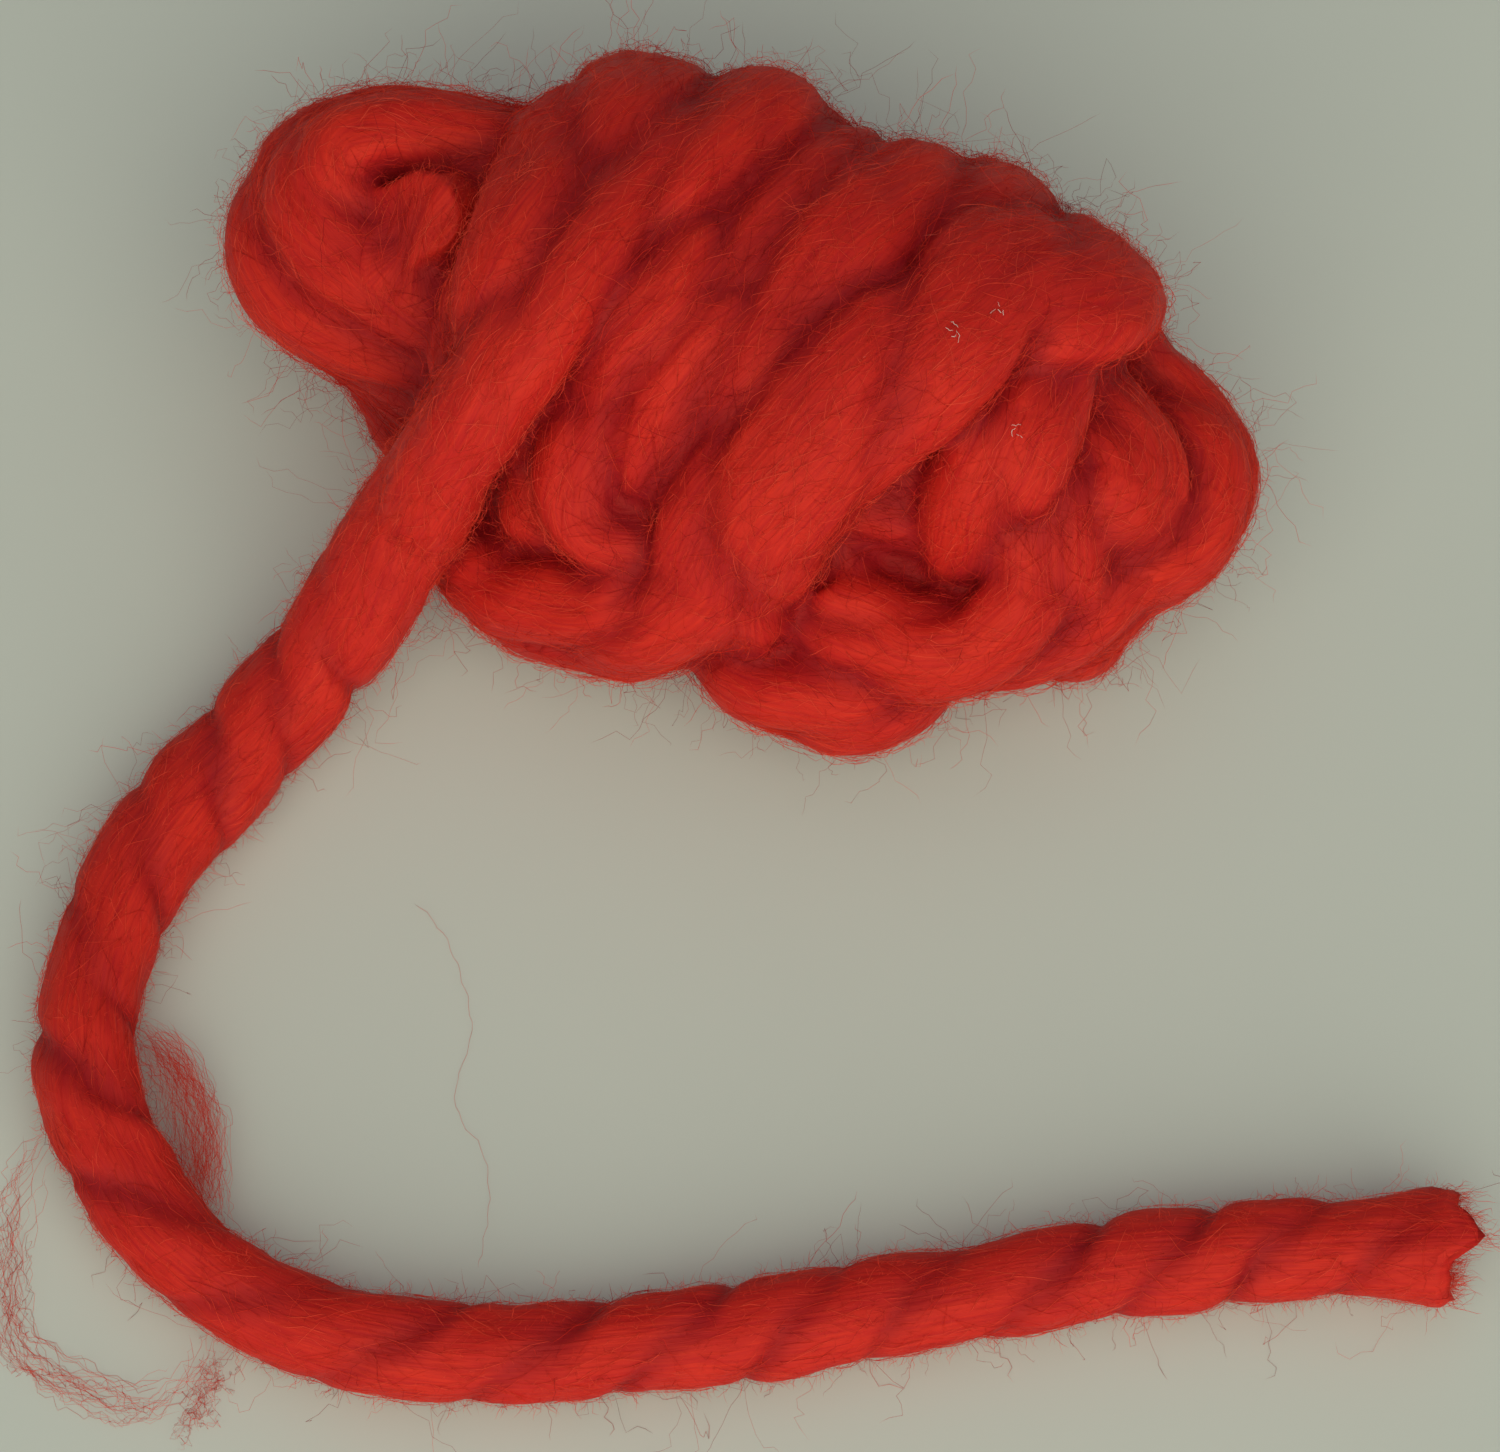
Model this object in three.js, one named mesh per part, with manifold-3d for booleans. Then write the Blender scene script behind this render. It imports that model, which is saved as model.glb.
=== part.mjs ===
// An oblong ball of thick red two-ply yarn: turns wound lengthwise, bound by wraps that lean across them,
// and one loose end that leaves the near left side and lies in an open curve on the surface.
// Millimetres, +Z up, +X to the right, +Y to the far side, origin on the surface under the ball.
import * as THREE from "three";
import { mergeVertices } from "three/addons/utils/BufferGeometryUtils.js";
import Module from "manifold-3d";

// Yarn
const LOOSE_THICK = 7.7; // mean thickness where the yarn lies free
const WOUND_THICK = 8; // thickness of the last wrap, slackened on the ball
const FAR_THICK = 10.6; // thickness of the last wrap on the ball's far side
const FAR_SIDE = [30, 55]; // lengths before the exit between which the last wrap thickens
const EXIT_THICK = 9; // thickness where the yarn leaves the ball
const WOUND_CLOSES = 12; // length before the exit in which the yarn thickens
const LOOSE_CLOSES = 85; // length after the exit in which it thins again
const PLY_PITCH = 20; // length in which the two plies go once round each other
const FIRST_CREASE = 2; // length from the exit at which a groove between the plies first faces up
const PLY_DEPTH = 0.08; // rise and fall of the plies, as a share of the radius
const PLY_SHOWS = 30; // length after the exit in which the plies begin to show
const CUT_END_FLARE = 0.14; // spread of the cut end, as a share of the radius
const CUT_END_LENGTH = 9; // length over which the cut end spreads
const EXIT_GAP = 0.3; // between the last wrap's face and the loose end's

// Ball
const BALL_YAW = THREE.MathUtils.degToRad(-18); // the long axis points right and a little to the near side
const WRAP_SQUARENESS = 2.3; // 2 is an ellipse, more is fuller at the shoulders

// Steps of the strands
const BALL_STEP = 4.6;
const BALL_SIDES = 9;
const LOOSE_STEPS = 110;
const LOOSE_SIDES = 12;
const DIVISIONS = 40; // of each span of the yarn's curve, to measure its length
const BELOW_SIZE = 300; // of the block that cuts the flat spot
const HAIR = 0.06; // points closer than this are one
const OUTLINE_POINTS = 96; // of a loop, to find its middle and length
const RING_TUBE = 0.25; // tube of the torus that is led along a loop, with a ring of 1
const SMALL_ANGLE = 1e-3; // to either side, for a loop's direction

// The inner turns, packed so close that they read as one lump with a flat spot below
const CORE = { along: 0, across: 1.5, height: 15.5, halfLength: 31, halfWidth: 12.5, halfHeight: 17.5 };
const CORE_SEGMENTS = 24;
const CORE_BANDS = 14;

// Turns wound lengthwise, from the surface up, with the slack loops of the near side last.
// at: along, across and above the ball. half: half length and half width of the loop. square: fullness
// of its ends. turn: degrees about the vertical. rise: climb for each millimetre along and across.
const LENGTHWISE = [
  { at: [0, 0, 3.6], half: [23, 7], square: 2.4, turn: 0, rise: [0, 0], thick: 8.8 },
  { at: [0.8, 1, 10.5], half: [31.2, 9.8], square: 2.4, turn: 1, rise: [0.07, 0.06], thick: 9.4 },
  { at: [-1.8, 4.6, 17.5], half: [39, 11.2], square: 2.7, turn: -1, rise: [-0.07, 0], thick: 9.4 },
  { at: [-3, 3.7, 24], half: [34.8, 8], square: 2.4, turn: -3, rise: [-0.06, 0.1], thick: 8.8 },
  { at: [-6.4, -10, 12], half: [11.4, 8.7], square: 2.4, turn: 0, rise: [0.28, 0], thick: 9.2 },
  { at: [11.2, -10, 10.4], half: [7.6, 9.2], square: 2.4, turn: 0, rise: [0.15, 0], thick: 9.2 },
  { at: [21.8, -2.7, 15], half: [10.5, 8], square: 2.4, turn: 0, rise: [0, 0.2], thick: 8.8 },
  { at: [17.2, -7.2, 21], half: [9.8, 7.2], square: 2.4, turn: 0, rise: [0, 0.6], thick: 8.8 },
  { at: [-7.5, -8, 16.8], half: [7.5, 6], square: 2.4, turn: 0, rise: [-0.05, 0.35], thick: 8.4 },
  { at: [15, -4, 19.8], half: [6.2, 5], square: 2.2, turn: 0, rise: [0, 0.9], thick: 8 },
];

// Wraps that bind the turns, from left to right. station: where the wrap crosses the long axis.
// lean: shift along for each millimetre across, to the far and the near side. far, near: reach across
// to either side. crown, foot: heights of its top and bottom.
const WRAPS = [
  { station: -18.2, lean: [0.16, 0.14], far: 21, near: 7, crown: 33.5, foot: 7, thick: 10.2 },
  { station: -6.2, lean: [0.54, 0.6], far: 19.2, near: 6, crown: 35.6, foot: 5.5, thick: 8.6 },
  { station: 1.2, lean: [0.55, 0.7], far: 21.3, near: 8.6, crown: 35.2, foot: 4.5, thick: 10 },
  { station: 12.5, lean: [0.66, 0.6], far: 16.7, near: 14.4, crown: 36, foot: 4.5, thick: 11.2 },
  { station: 22.2, lean: [0.05, 0.25], far: 15, near: 5, crown: 30.5, foot: 6, thick: 8.6 },
];

// Slack stretches that leave their turns, each with both ends under other turns: the belly below the
// thickest wrap, a small hook beside the last wrap, a knuckle that stands up in the left lobe, that lobe's
// near edge, and two on the near side of the right lobe
const STRETCHES = [
  {
    thick: 9.4,
    line: [
      [7, -8, 32.5], [2, -12.5, 27.8], [-2.5, -15.5, 22.8], [-7.5, -17.2, 18.2], [-12.8, -16, 14.8],
      [-17.7, -13, 11.8], [-21.5, -9, 9],
    ],
  },
  {
    thick: 6.2,
    line: [
      [-2, 1.5, 33.8], [-7, -0.7, 31.7], [-10.4, -4, 29.2], [-13, -7, 26.5], [-13.6, -9.9, 24],
      [-12, -12.1, 22.5], [-8.7, -12.8, 22], [-4.3, -11, 21.2],
    ],
  },
  { thick: 8.6, line: [[-19, 14, 19], [-22.6, 12.8, 25], [-25.2, 11.8, 29], [-26.4, 11.3, 30.6]] },
  {
    thick: 8.8,
    line: [
      [-36.2, 13.8, 16.5], [-34.8, 11.2, 16], [-32.5, 8.8, 15], [-29.2, 5.8, 14], [-25.4, 2.5, 13],
      [-21.1, 0.5, 12],
    ],
  },
  {
    thick: 9.2,
    line: [
      [23, -6.9, 22], [24.7, -10.6, 18.5], [26, -13.6, 14], [26.2, -15.3, 9.5], [24.2, -14.2, 6.6],
      [20.6, -10.8, 5.6],
    ],
  },
  { thick: 8, line: [[10.8, -13.4, 12.5], [15.2, -13.8, 13.5], [19.2, -12.5, 14.5], [22.9, -9.7, 15]] },
];

// The last wrap, which comes out of the lump below, goes over the top and becomes the loose end
const LAST_WRAP = { station: -13.6, lean: [0.42, 0.38], far: 21.1, near: 16, crown: 36, foot: 5 };
const LAST_WRAP_ROOT = [-8, 3, 12];
const LAST_WRAP_FROM = -160; // degrees from the crown, far side negative
const LAST_WRAP_TO = 50;
const LAST_WRAP_EVERY = 15;

// The loose end's route, from the point where it leaves the ball to its cut end
const ROUTE = [
  [-26.3, -9.1, 19], [-30.2, -13.2, 12.5], [-34.8, -17.8, 7.2], [-39.4, -23, 4.9], [-44.3, -28.3, 4.5],
  [-48.1, -33.7, 4.5], [-50.6, -39, 4.5], [-52.1, -44.1, 4.5], [-52.4, -49.4, 4.5], [-51.6, -54.6, 4.5],
  [-49.5, -59.5, 4.5], [-46.6, -63.8, 4.5], [-42.9, -67.5, 4.5], [-38.3, -70.7, 4.5], [-32.8, -72.8, 4.5],
  [-26.4, -74.1, 4.5], [-19.2, -74.6, 4.5], [-11.4, -74.1, 4.5], [-3.6, -73.2, 4.5], [4.4, -72, 4.5],
  [12.3, -70.6, 4.5], [20.1, -69.2, 4.5], [28, -67.8, 4.5], [35.9, -66.7, 4.5], [43.8, -66.2, 4.5],
  [50.1, -66, 4.8], [56.6, -65.9, 5.2],
];

const wasm = await Module();
wasm.setup();

// A point of the ball's own axes in the part's frame
function onBall(along, across, height) {
  return new THREE.Vector3(along, across, height).applyAxisAngle(new THREE.Vector3(0, 0, 1), BALL_YAW);
}

// A point of a rounded oval with half sizes of 1
function ovalAt(angle, square) {
  const c = Math.cos(angle);
  const s = Math.sin(angle);
  const stretch = (Math.abs(c) ** square + Math.abs(s) ** square) ** (-1 / square);
  return [c * stretch, s * stretch];
}

function lengthwiseAt(row, angle) {
  const [c, s] = ovalAt(angle, row.square);
  const turn = THREE.MathUtils.degToRad(row.turn);
  const along = row.half[0] * c;
  const across = row.half[1] * s;
  return onBall(
    row.at[0] + along * Math.cos(turn) - across * Math.sin(turn),
    row.at[1] + along * Math.sin(turn) + across * Math.cos(turn),
    row.at[2] + along * row.rise[0] + across * row.rise[1],
  );
}

// The angle is 0 at the crown and turns towards the near side
function wrapAt(row, angle) {
  const [c, s] = ovalAt(angle, WRAP_SQUARENESS);
  const across = -s * (s > 0 ? row.near : row.far);
  const shift = across * (s > 0 ? row.lean[1] : row.lean[0]);
  const height = (row.crown + row.foot) / 2 + (c * (row.crown - row.foot)) / 2;
  return onBall(row.station + shift, across, height);
}

// A closed loop of yarn: a torus whose ring is led along the loop
function closedTurn(pointAt, thick) {
  const angles = Array.from({ length: OUTLINE_POINTS }, (_, i) => (i / OUTLINE_POINTS) * 2 * Math.PI);
  const outline = angles.map(pointAt);
  const centre = outline.reduce((sum, p) => sum.add(p), new THREE.Vector3()).divideScalar(outline.length);
  const around = new THREE.CatmullRomCurve3(outline, true).getLength();
  const torus = new THREE.TorusGeometry(1, RING_TUBE, BALL_SIDES, Math.round(around / BALL_STEP));
  const places = torus.getAttribute("position");
  for (let i = 0; i < places.count; i++) {
    const [x, y, z] = [places.getX(i), places.getY(i), places.getZ(i)];
    const angle = Math.atan2(y, x);
    const point = pointAt(angle);
    const tangent = pointAt(angle + SMALL_ANGLE).sub(pointAt(angle - SMALL_ANGLE)).normalize();
    const outward = point.clone().sub(centre);
    outward.addScaledVector(tangent, -outward.dot(tangent)).normalize();
    const side = new THREE.Vector3().crossVectors(outward, tangent);
    point.addScaledVector(outward, ((Math.hypot(x, y) - 1) / RING_TUBE) * (thick / 2));
    point.addScaledVector(side, (z / RING_TUBE) * (thick / 2));
    places.setXYZ(i, point.x, point.y, point.z);
  }
  return torus;
}

// The stretch of a curve between two lengths along it
class Stretch extends THREE.Curve {
  constructor(curve, from, to) {
    super();
    this.curve = curve;
    this.from = from / curve.getLength();
    this.to = to / curve.getLength();
  }
  getPoint(t, target = new THREE.Vector3()) {
    return this.curve.getPointAt(this.from + (this.to - this.from) * t, target);
  }
}

// The index of the point that lies nearest to a place
function nearest(points, place) {
  const distances = points.map((p) => p.distanceToSquared(place));
  return distances.indexOf(Math.min(...distances));
}

// An open strand along a curve: a round section of radius 1, whose points then move out
// to radiusAt(share of the length, angle from the top of the strand)
function openStrand(path, steps, sides, radiusAt) {
  const corners = Array.from({ length: sides }, (_, i) => (i / sides) * 2 * Math.PI);
  const section = new THREE.Shape(corners.map((a) => new THREE.Vector2(Math.cos(a), Math.sin(a))));
  const strand = new THREE.ExtrudeGeometry(section, { steps, extrudePath: path, bevelEnabled: false });
  const middles = path.getSpacedPoints(steps);
  const { tangents } = path.computeFrenetFrames(steps, false);
  const places = strand.getAttribute("position");
  const place = new THREE.Vector3();
  for (let i = 0; i < places.count; i++) {
    place.fromBufferAttribute(places, i);
    const step = nearest(middles, place);
    const offset = place.clone().sub(middles[step]);
    const up = new THREE.Vector3(0, 0, 1).addScaledVector(tangents[step], -tangents[step].z).normalize();
    const side = new THREE.Vector3().crossVectors(tangents[step], up);
    const angle = Math.atan2(offset.dot(side), offset.dot(up));
    place.copy(middles[step]).addScaledVector(offset, radiusAt(step / steps, angle));
    places.setXYZ(i, place.x, place.y, place.z);
  }
  return strand;
}

function solidOf(geometry) {
  geometry.deleteAttribute("normal");
  geometry.deleteAttribute("uv");
  const merged = mergeVertices(geometry);
  const vertProperties = merged.getAttribute("position").array;
  const triVerts = new Uint32Array(merged.index.array);
  return new wasm.Manifold(new wasm.Mesh({ numProp: 3, vertProperties, triVerts }));
}

function geometryOf(solid) {
  const { vertProperties, triVerts } = solid.getMesh();
  const geometry = new THREE.BufferGeometry();
  geometry.setAttribute("position", new THREE.BufferAttribute(vertProperties, 3));
  geometry.setIndex(new THREE.BufferAttribute(triVerts, 1));
  return geometry;
}

// Points closer together than a hair become one, because joined strands leave faces finer than that
function withoutHairFaces(solid) {
  const merged = mergeVertices(geometryOf(solid), HAIR);
  const places = merged.getAttribute("position");
  for (let i = 0; i < places.count; i++) {
    if (places.getZ(i) < HAIR) places.setZ(i, 0);
  }
  const corners = merged.index.array;
  const kept = [];
  for (let i = 0; i < corners.length; i += 3) {
    const [a, b, c] = corners.slice(i, i + 3);
    if (a !== b && b !== c && c !== a) kept.push(a, b, c);
  }
  merged.setIndex(kept);
  return solidOf(merged);
}

// The outer shell alone, so that the hollows shut in between the turns are filled
function outerShell(solid) {
  return solid.decompose().reduce((most, shell) => (shell.volume() > most.volume() ? shell : most));
}

// The yarn of the last wrap and the loose end, on one curve
const lastWrap = [onBall(...LAST_WRAP_ROOT)];
for (let degrees = LAST_WRAP_FROM; degrees <= LAST_WRAP_TO; degrees += LAST_WRAP_EVERY) {
  lastWrap.push(wrapAt(LAST_WRAP, THREE.MathUtils.degToRad(degrees)));
}
const yarn = new THREE.CatmullRomCurve3(
  [...lastWrap, ...ROUTE.map((place) => new THREE.Vector3(...place))],
  false,
  "centripetal",
);
yarn.arcLengthDivisions = (yarn.points.length - 1) * DIVISIONS;
const exitLength = yarn.getLengths()[lastWrap.length * DIVISIONS];
const wrapLength = exitLength - EXIT_GAP / 2;
const looseLength = yarn.getLength() - exitLength - EXIT_GAP / 2;

function lastWrapRadius(share) {
  const left = wrapLength * (1 - share);
  const slack = THREE.MathUtils.smoothstep(left, 0, WOUND_CLOSES);
  const far = THREE.MathUtils.smoothstep(left, ...FAR_SIDE);
  return (THREE.MathUtils.lerp(EXIT_THICK, WOUND_THICK, slack) + far * (FAR_THICK - WOUND_THICK)) / 2;
}

// Two plies that turn left-handed round each other and part again at the cut end
function looseRadius(share, angle) {
  const along = looseLength * share;
  const closed = THREE.MathUtils.smoothstep(along, 0, LOOSE_CLOSES);
  const shown = THREE.MathUtils.smoothstep(along, 0, PLY_SHOWS);
  const flare = THREE.MathUtils.smoothstep(along, looseLength - CUT_END_LENGTH, looseLength);
  const mean = THREE.MathUtils.lerp(EXIT_THICK, LOOSE_THICK, closed) / 2;
  const turned = (2 * Math.PI * (along - FIRST_CREASE)) / PLY_PITCH;
  const plies = -Math.cos(2 * (angle + turned));
  return mean * (1 + shown * PLY_DEPTH * plies + CUT_END_FLARE * flare);
}

// A slack stretch of yarn with two ends
function slackStretch(row) {
  const path = new THREE.CatmullRomCurve3(
    row.line.map((place) => new THREE.Vector3(...place)),
    false,
    "centripetal",
  );
  return openStrand(path, Math.round(path.getLength() / BALL_STEP), BALL_SIDES, () => row.thick / 2);
}

function ballSolid() {
  const core = new THREE.SphereGeometry(1, CORE_SEGMENTS, CORE_BANDS);
  core.rotateX(Math.PI / 2);
  core.scale(CORE.halfLength, CORE.halfWidth, CORE.halfHeight);
  core.translate(CORE.along, CORE.across, CORE.height);
  core.rotateZ(BALL_YAW);
  const wrapPath = new Stretch(yarn, 0, wrapLength);
  const strands = [
    ...LENGTHWISE.map((row) => closedTurn((angle) => lengthwiseAt(row, angle), row.thick)),
    ...WRAPS.map((row) => closedTurn((angle) => wrapAt(row, angle), row.thick)),
    ...STRETCHES.map(slackStretch),
    openStrand(wrapPath, Math.round(wrapLength / BALL_STEP), BALL_SIDES, lastWrapRadius),
  ];
  const below = new THREE.BoxGeometry(BELOW_SIZE, BELOW_SIZE, BELOW_SIZE).translate(0, 0, -BELOW_SIZE / 2);
  const joined = strands.reduce((ball, strand) => ball.add(solidOf(strand)), solidOf(core));
  return outerShell(withoutHairFaces(outerShell(joined.subtract(solidOf(below)))));
}

function looseEndSolid() {
  const path = new Stretch(yarn, exitLength + EXIT_GAP / 2, yarn.getLength());
  return solidOf(openStrand(path, LOOSE_STEPS, LOOSE_SIDES, looseRadius));
}

function piece(name, solid) {
  const wool = new THREE.MeshStandardMaterial({ color: 0xb41e1a, roughness: 0.95, metalness: 0 });
  const mesh = new THREE.Mesh(geometryOf(solid), wool);
  mesh.geometry.computeVertexNormals();
  mesh.name = name;
  return mesh;
}

const part = new THREE.Group();
part.add(piece("yarn_ball", ballSolid()));
part.add(piece("loose_end", looseEndSolid()));

export default part;
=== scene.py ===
import math

import bmesh
import bpy
import numpy as np
from mathutils import Matrix, Vector, noise
from mathutils.bvhtree import BVHTree
from mathutils.kdtree import KDTree


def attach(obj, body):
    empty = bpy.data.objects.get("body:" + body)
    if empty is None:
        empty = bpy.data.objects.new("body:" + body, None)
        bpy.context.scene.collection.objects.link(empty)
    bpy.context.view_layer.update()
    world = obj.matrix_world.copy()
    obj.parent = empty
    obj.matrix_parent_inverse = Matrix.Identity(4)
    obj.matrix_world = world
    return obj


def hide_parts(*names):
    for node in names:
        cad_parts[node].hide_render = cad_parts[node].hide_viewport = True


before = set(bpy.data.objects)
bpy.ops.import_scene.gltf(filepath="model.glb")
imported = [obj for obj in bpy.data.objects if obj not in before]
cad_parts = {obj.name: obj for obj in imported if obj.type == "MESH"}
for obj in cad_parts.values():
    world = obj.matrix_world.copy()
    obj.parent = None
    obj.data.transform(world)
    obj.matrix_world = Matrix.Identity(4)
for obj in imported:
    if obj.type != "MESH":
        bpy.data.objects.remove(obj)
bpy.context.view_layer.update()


# Camera, floor and light
# The yarn lies on plain pale card, seen from above and a little from the near side.
# A broad soft light stands on the viewer's side, and an even light comes from all round.
VIEW_TARGET = Vector((0.0004, -0.0205, 0))
VIEW_TILT = math.radians(70)  # above the horizon
VIEW_DISTANCE = 0.6
VIEW_WIDTH = 0.1224  # of card that shows at the target
SENSOR_WIDTH = 36
CARD_SIZE = 6
CARD_PALE = (0.625, 0.665, 0.59, 1)
CARD_DULL = (0.59, 0.63, 0.56, 1)
CARD_MOTTLE = 22  # patches in each metre
CARD_SURFACE = {"Roughness": 0.7, "Specular IOR Level": 0.2}
VIEWER_LIGHT = {"place": (0.05, -1.0, 0.80), "size": 2.2, "power": 21.3, "colour": (0.98, 0.97, 0.82)}
OVERHEAD_LIGHT = {"place": (0.1, 0.1, 1.1), "size": 0.9, "power": 0.6, "colour": (0.91, 0.93, 1.0)}
ROUND_LIGHT = (0.91, 0.93, 1.0, 1)
ROUND_STRENGTH = 0.24

camera = bpy.data.objects.new("camera", bpy.data.cameras.new("camera"))
camera.data.sensor_width = SENSOR_WIDTH
camera.data.lens = SENSOR_WIDTH * VIEW_DISTANCE / VIEW_WIDTH
camera.location = VIEW_TARGET + VIEW_DISTANCE * Vector((0, -math.cos(VIEW_TILT), math.sin(VIEW_TILT)))
camera.rotation_euler = (math.pi / 2 - VIEW_TILT, 0, 0)
bpy.context.collection.objects.link(camera)
bpy.context.scene.camera = camera
bpy.context.scene.view_settings.view_transform = "Standard"


def soft_light(name, place, size, power, colour):
    """A square lamp that faces the yarn."""
    lamp = bpy.data.lights.new(name, "AREA")
    lamp.size = size
    lamp.energy = power
    lamp.color = colour
    light = bpy.data.objects.new(name, lamp)
    light.location = place
    light.rotation_euler = (VIEW_TARGET - light.location).to_track_quat("-Z", "Y").to_euler()
    bpy.context.collection.objects.link(light)


soft_light("viewer_side_light", **VIEWER_LIGHT)
soft_light("overhead_light", **OVERHEAD_LIGHT)

world = bpy.data.worlds.new("even_light")
world.use_nodes = True
world.node_tree.nodes["Background"].inputs["Color"].default_value = ROUND_LIGHT
world.node_tree.nodes["Background"].inputs["Strength"].default_value = ROUND_STRENGTH
bpy.context.scene.world = world


def set_socket(tree, socket, value):
    """Gives a socket its value, or links it where the value is a socket too."""
    if isinstance(value, bpy.types.NodeSocket):
        tree.links.new(value, socket)
    else:
        socket.default_value = value


def new_material(name, surface):
    """A material with its node tree and its shader, whose sockets get the surface's values."""
    material = bpy.data.materials.new(name)
    material.use_nodes = True
    shader = material.node_tree.nodes["Principled BSDF"]
    for socket, value in surface.items():
        shader.inputs[socket].default_value = value
    return material, material.node_tree, shader


def add_node(tree, kind, **settings):
    """A node with these settings, where a name that matches a socket sets or links that socket."""
    node = tree.nodes.new(kind)
    for name, value in settings.items():
        if name in node.inputs:
            set_socket(tree, node.inputs[name], value)
        else:
            setattr(node, name, value)
    return node


def mixed(tree, share, first, second):
    """The socket of a colour between two, each a colour or a socket."""
    mix = add_node(tree, "ShaderNodeMix", data_type="RGBA", Factor=share)
    set_socket(tree, mix.inputs[6], first)
    set_socket(tree, mix.inputs[7], second)
    return mix.outputs[2]


card, tree, shader = new_material("pale_card", CARD_SURFACE)
where = add_node(tree, "ShaderNodeTexCoord")
mottle = add_node(tree, "ShaderNodeTexNoise", Vector=where.outputs["Object"], Scale=CARD_MOTTLE, Detail=3)
set_socket(tree, shader.inputs["Base Color"], mixed(tree, mottle.outputs["Fac"], CARD_PALE, CARD_DULL))

bpy.ops.mesh.primitive_plane_add(size=CARD_SIZE)
floor = bpy.context.object
floor.name = "card_floor"
floor.data.materials.append(card)


# Loose end of the yarn
# The last wrap goes over the ball, leaves it at the near left and lies on the floor in an open curve.
# It is a soft two-ply wool yarn, its plies turned left-handed round each other, cut off at the end.
BALL_YAW = math.radians(-18)  # the ball's long axis points right and a little to the near side
BALL_MIDDLE = (0.0, 0.0015, 0.0155)  # along, across and above, as the ball's own axes go
WRAP_SQUARENESS = 2.3  # 2 is an ellipse
# station: where the wrap crosses the long axis. lean: shift along for each unit across, far and near.
# far, near: reach to either side. crown, foot: heights of its top and bottom.
LAST_WRAP = {
    "station": -0.0136, "lean": (0.42, 0.38), "far": 0.0211, "near": 0.016, "crown": 0.036, "foot": 0.005,
}
LAST_WRAP_ROOT = (-0.008, 0.003, 0.012)
LAST_WRAP_ANGLES = range(-160, 51, 15)  # degrees from the crown, near side positive
ROUTE = [
    (-0.0263, -0.0091, 0.0190), (-0.0302, -0.0132, 0.0125), (-0.0348, -0.0178, 0.0072),
    (-0.0394, -0.0230, 0.0049), (-0.0443, -0.0283, 0.0045), (-0.0481, -0.0337, 0.0045),
    (-0.0506, -0.0390, 0.0045), (-0.0521, -0.0441, 0.0045), (-0.0524, -0.0494, 0.0045),
    (-0.0516, -0.0546, 0.0045), (-0.0495, -0.0595, 0.0045), (-0.0466, -0.0638, 0.0045),
    (-0.0429, -0.0675, 0.0045), (-0.0383, -0.0707, 0.0045), (-0.0328, -0.0728, 0.0045),
    (-0.0264, -0.0741, 0.0045), (-0.0192, -0.0746, 0.0045), (-0.0114, -0.0741, 0.0045),
    (-0.0036, -0.0732, 0.0045), (0.0044, -0.0720, 0.0045), (0.0123, -0.0706, 0.0045),
    (0.0201, -0.0692, 0.0045), (0.0280, -0.0678, 0.0045), (0.0359, -0.0667, 0.0045),
    (0.0438, -0.0662, 0.0045), (0.0501, -0.0660, 0.0048), (0.0566, -0.0659, 0.0052),
]
LOOSE_THICK = 0.0077  # mean thickness where the yarn lies free
WOUND_THICK = 0.0080  # where it is slackened on the ball
FAR_THICK = 0.0106  # on the ball's far side
EXIT_THICK = 0.0090  # where it leaves the ball
# Width and height of the section, as shares of the thickness, and what is added on the floor and the far side
WOUND_WIDE, WIDER_ON_FLOOR, WIDER_FAR = 1.06, -0.05, 0.2
WOUND_HIGH, HIGHER_ON_FLOOR, HIGHER_FAR = 0.94, 0.02, -0.06
# Lengths from the exit between which the yarn comes to the floor, to the pressed turns and to the far side
TO_FLOOR = (-0.01, 0.02)
TO_PRESSED = (0.002, -0.02)
TO_FAR_SIDE = (-0.03, -0.055)
WOUND_CLOSES = 0.012  # length before the exit in which the yarn thickens
LOOSE_CLOSES = 0.085  # length after the exit in which it thins again
# Lengths from the exit at which a groove between the plies faces up or out of the ball, each half a turn on
CREASES = [
    -0.084, -0.062, -0.042, -0.023, 0.0011, 0.0121, 0.0205, 0.0290, 0.0376, 0.0486, 0.0584, 0.0696,
    0.0822, 0.0939, 0.1050, 0.1160, 0.1252, 0.1340, 0.1457, 0.1548, 0.1626, 0.1726, 0.182,
]
LINGER = 0.45  # share by which the grooves turn slower while they face up than on average
GROOVE = math.pi / 2  # angle of a groove from a ply's crest
GROOVE_WIDTH = 0.38  # as the cosine of the angle from its middle
PAINTED_SHADE_WIDTH = 0.50  # of the band of painted shade along a groove
LOOSE_GROOVE = 0.09  # depth of the grooves, as a share of the radius
WOUND_GROOVE = 0.13
TURN_GROOVE = 0.16
LOOSE_SWELL = 0.03  # how far the plies' crests stand out, as a share of the radius
WOUND_SWELL = 0.05
# Waves that make the yarn lumpy: their lengths along it, heights as shares of the radius, and lobes round it
LUMP_LENGTHS = np.array([0.031, 0.017, 0.011, 0.0067, 0.0043])
LUMP_SHARES = np.array([0.026, 0.028, 0.024, 0.014, 0.009])
LUMP_LOBES = np.array([0, 1, 2, 3, 5])
LOCK_RAISED = 0.00028  # height of the locks of fibre that show on the skin
LOCK_LENGTH = 0.011
LOCK_WIDTH = 0.0021
LOCK_SLANT = 0.12
LOCKS_APART = 7.3  # shift from strand to strand, so that their locks differ
CUT_FLARE = 0.14  # how much thicker the yarn gets at the cut, as a share
CUT_LENGTH = 0.009  # in which it gets thicker
CUT_FLAT = 0.12  # how much wider and lower it gets there
CUT_PLAIN = 0.7  # share by which the plies fade there
CUT_BACK = 0.0012
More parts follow.
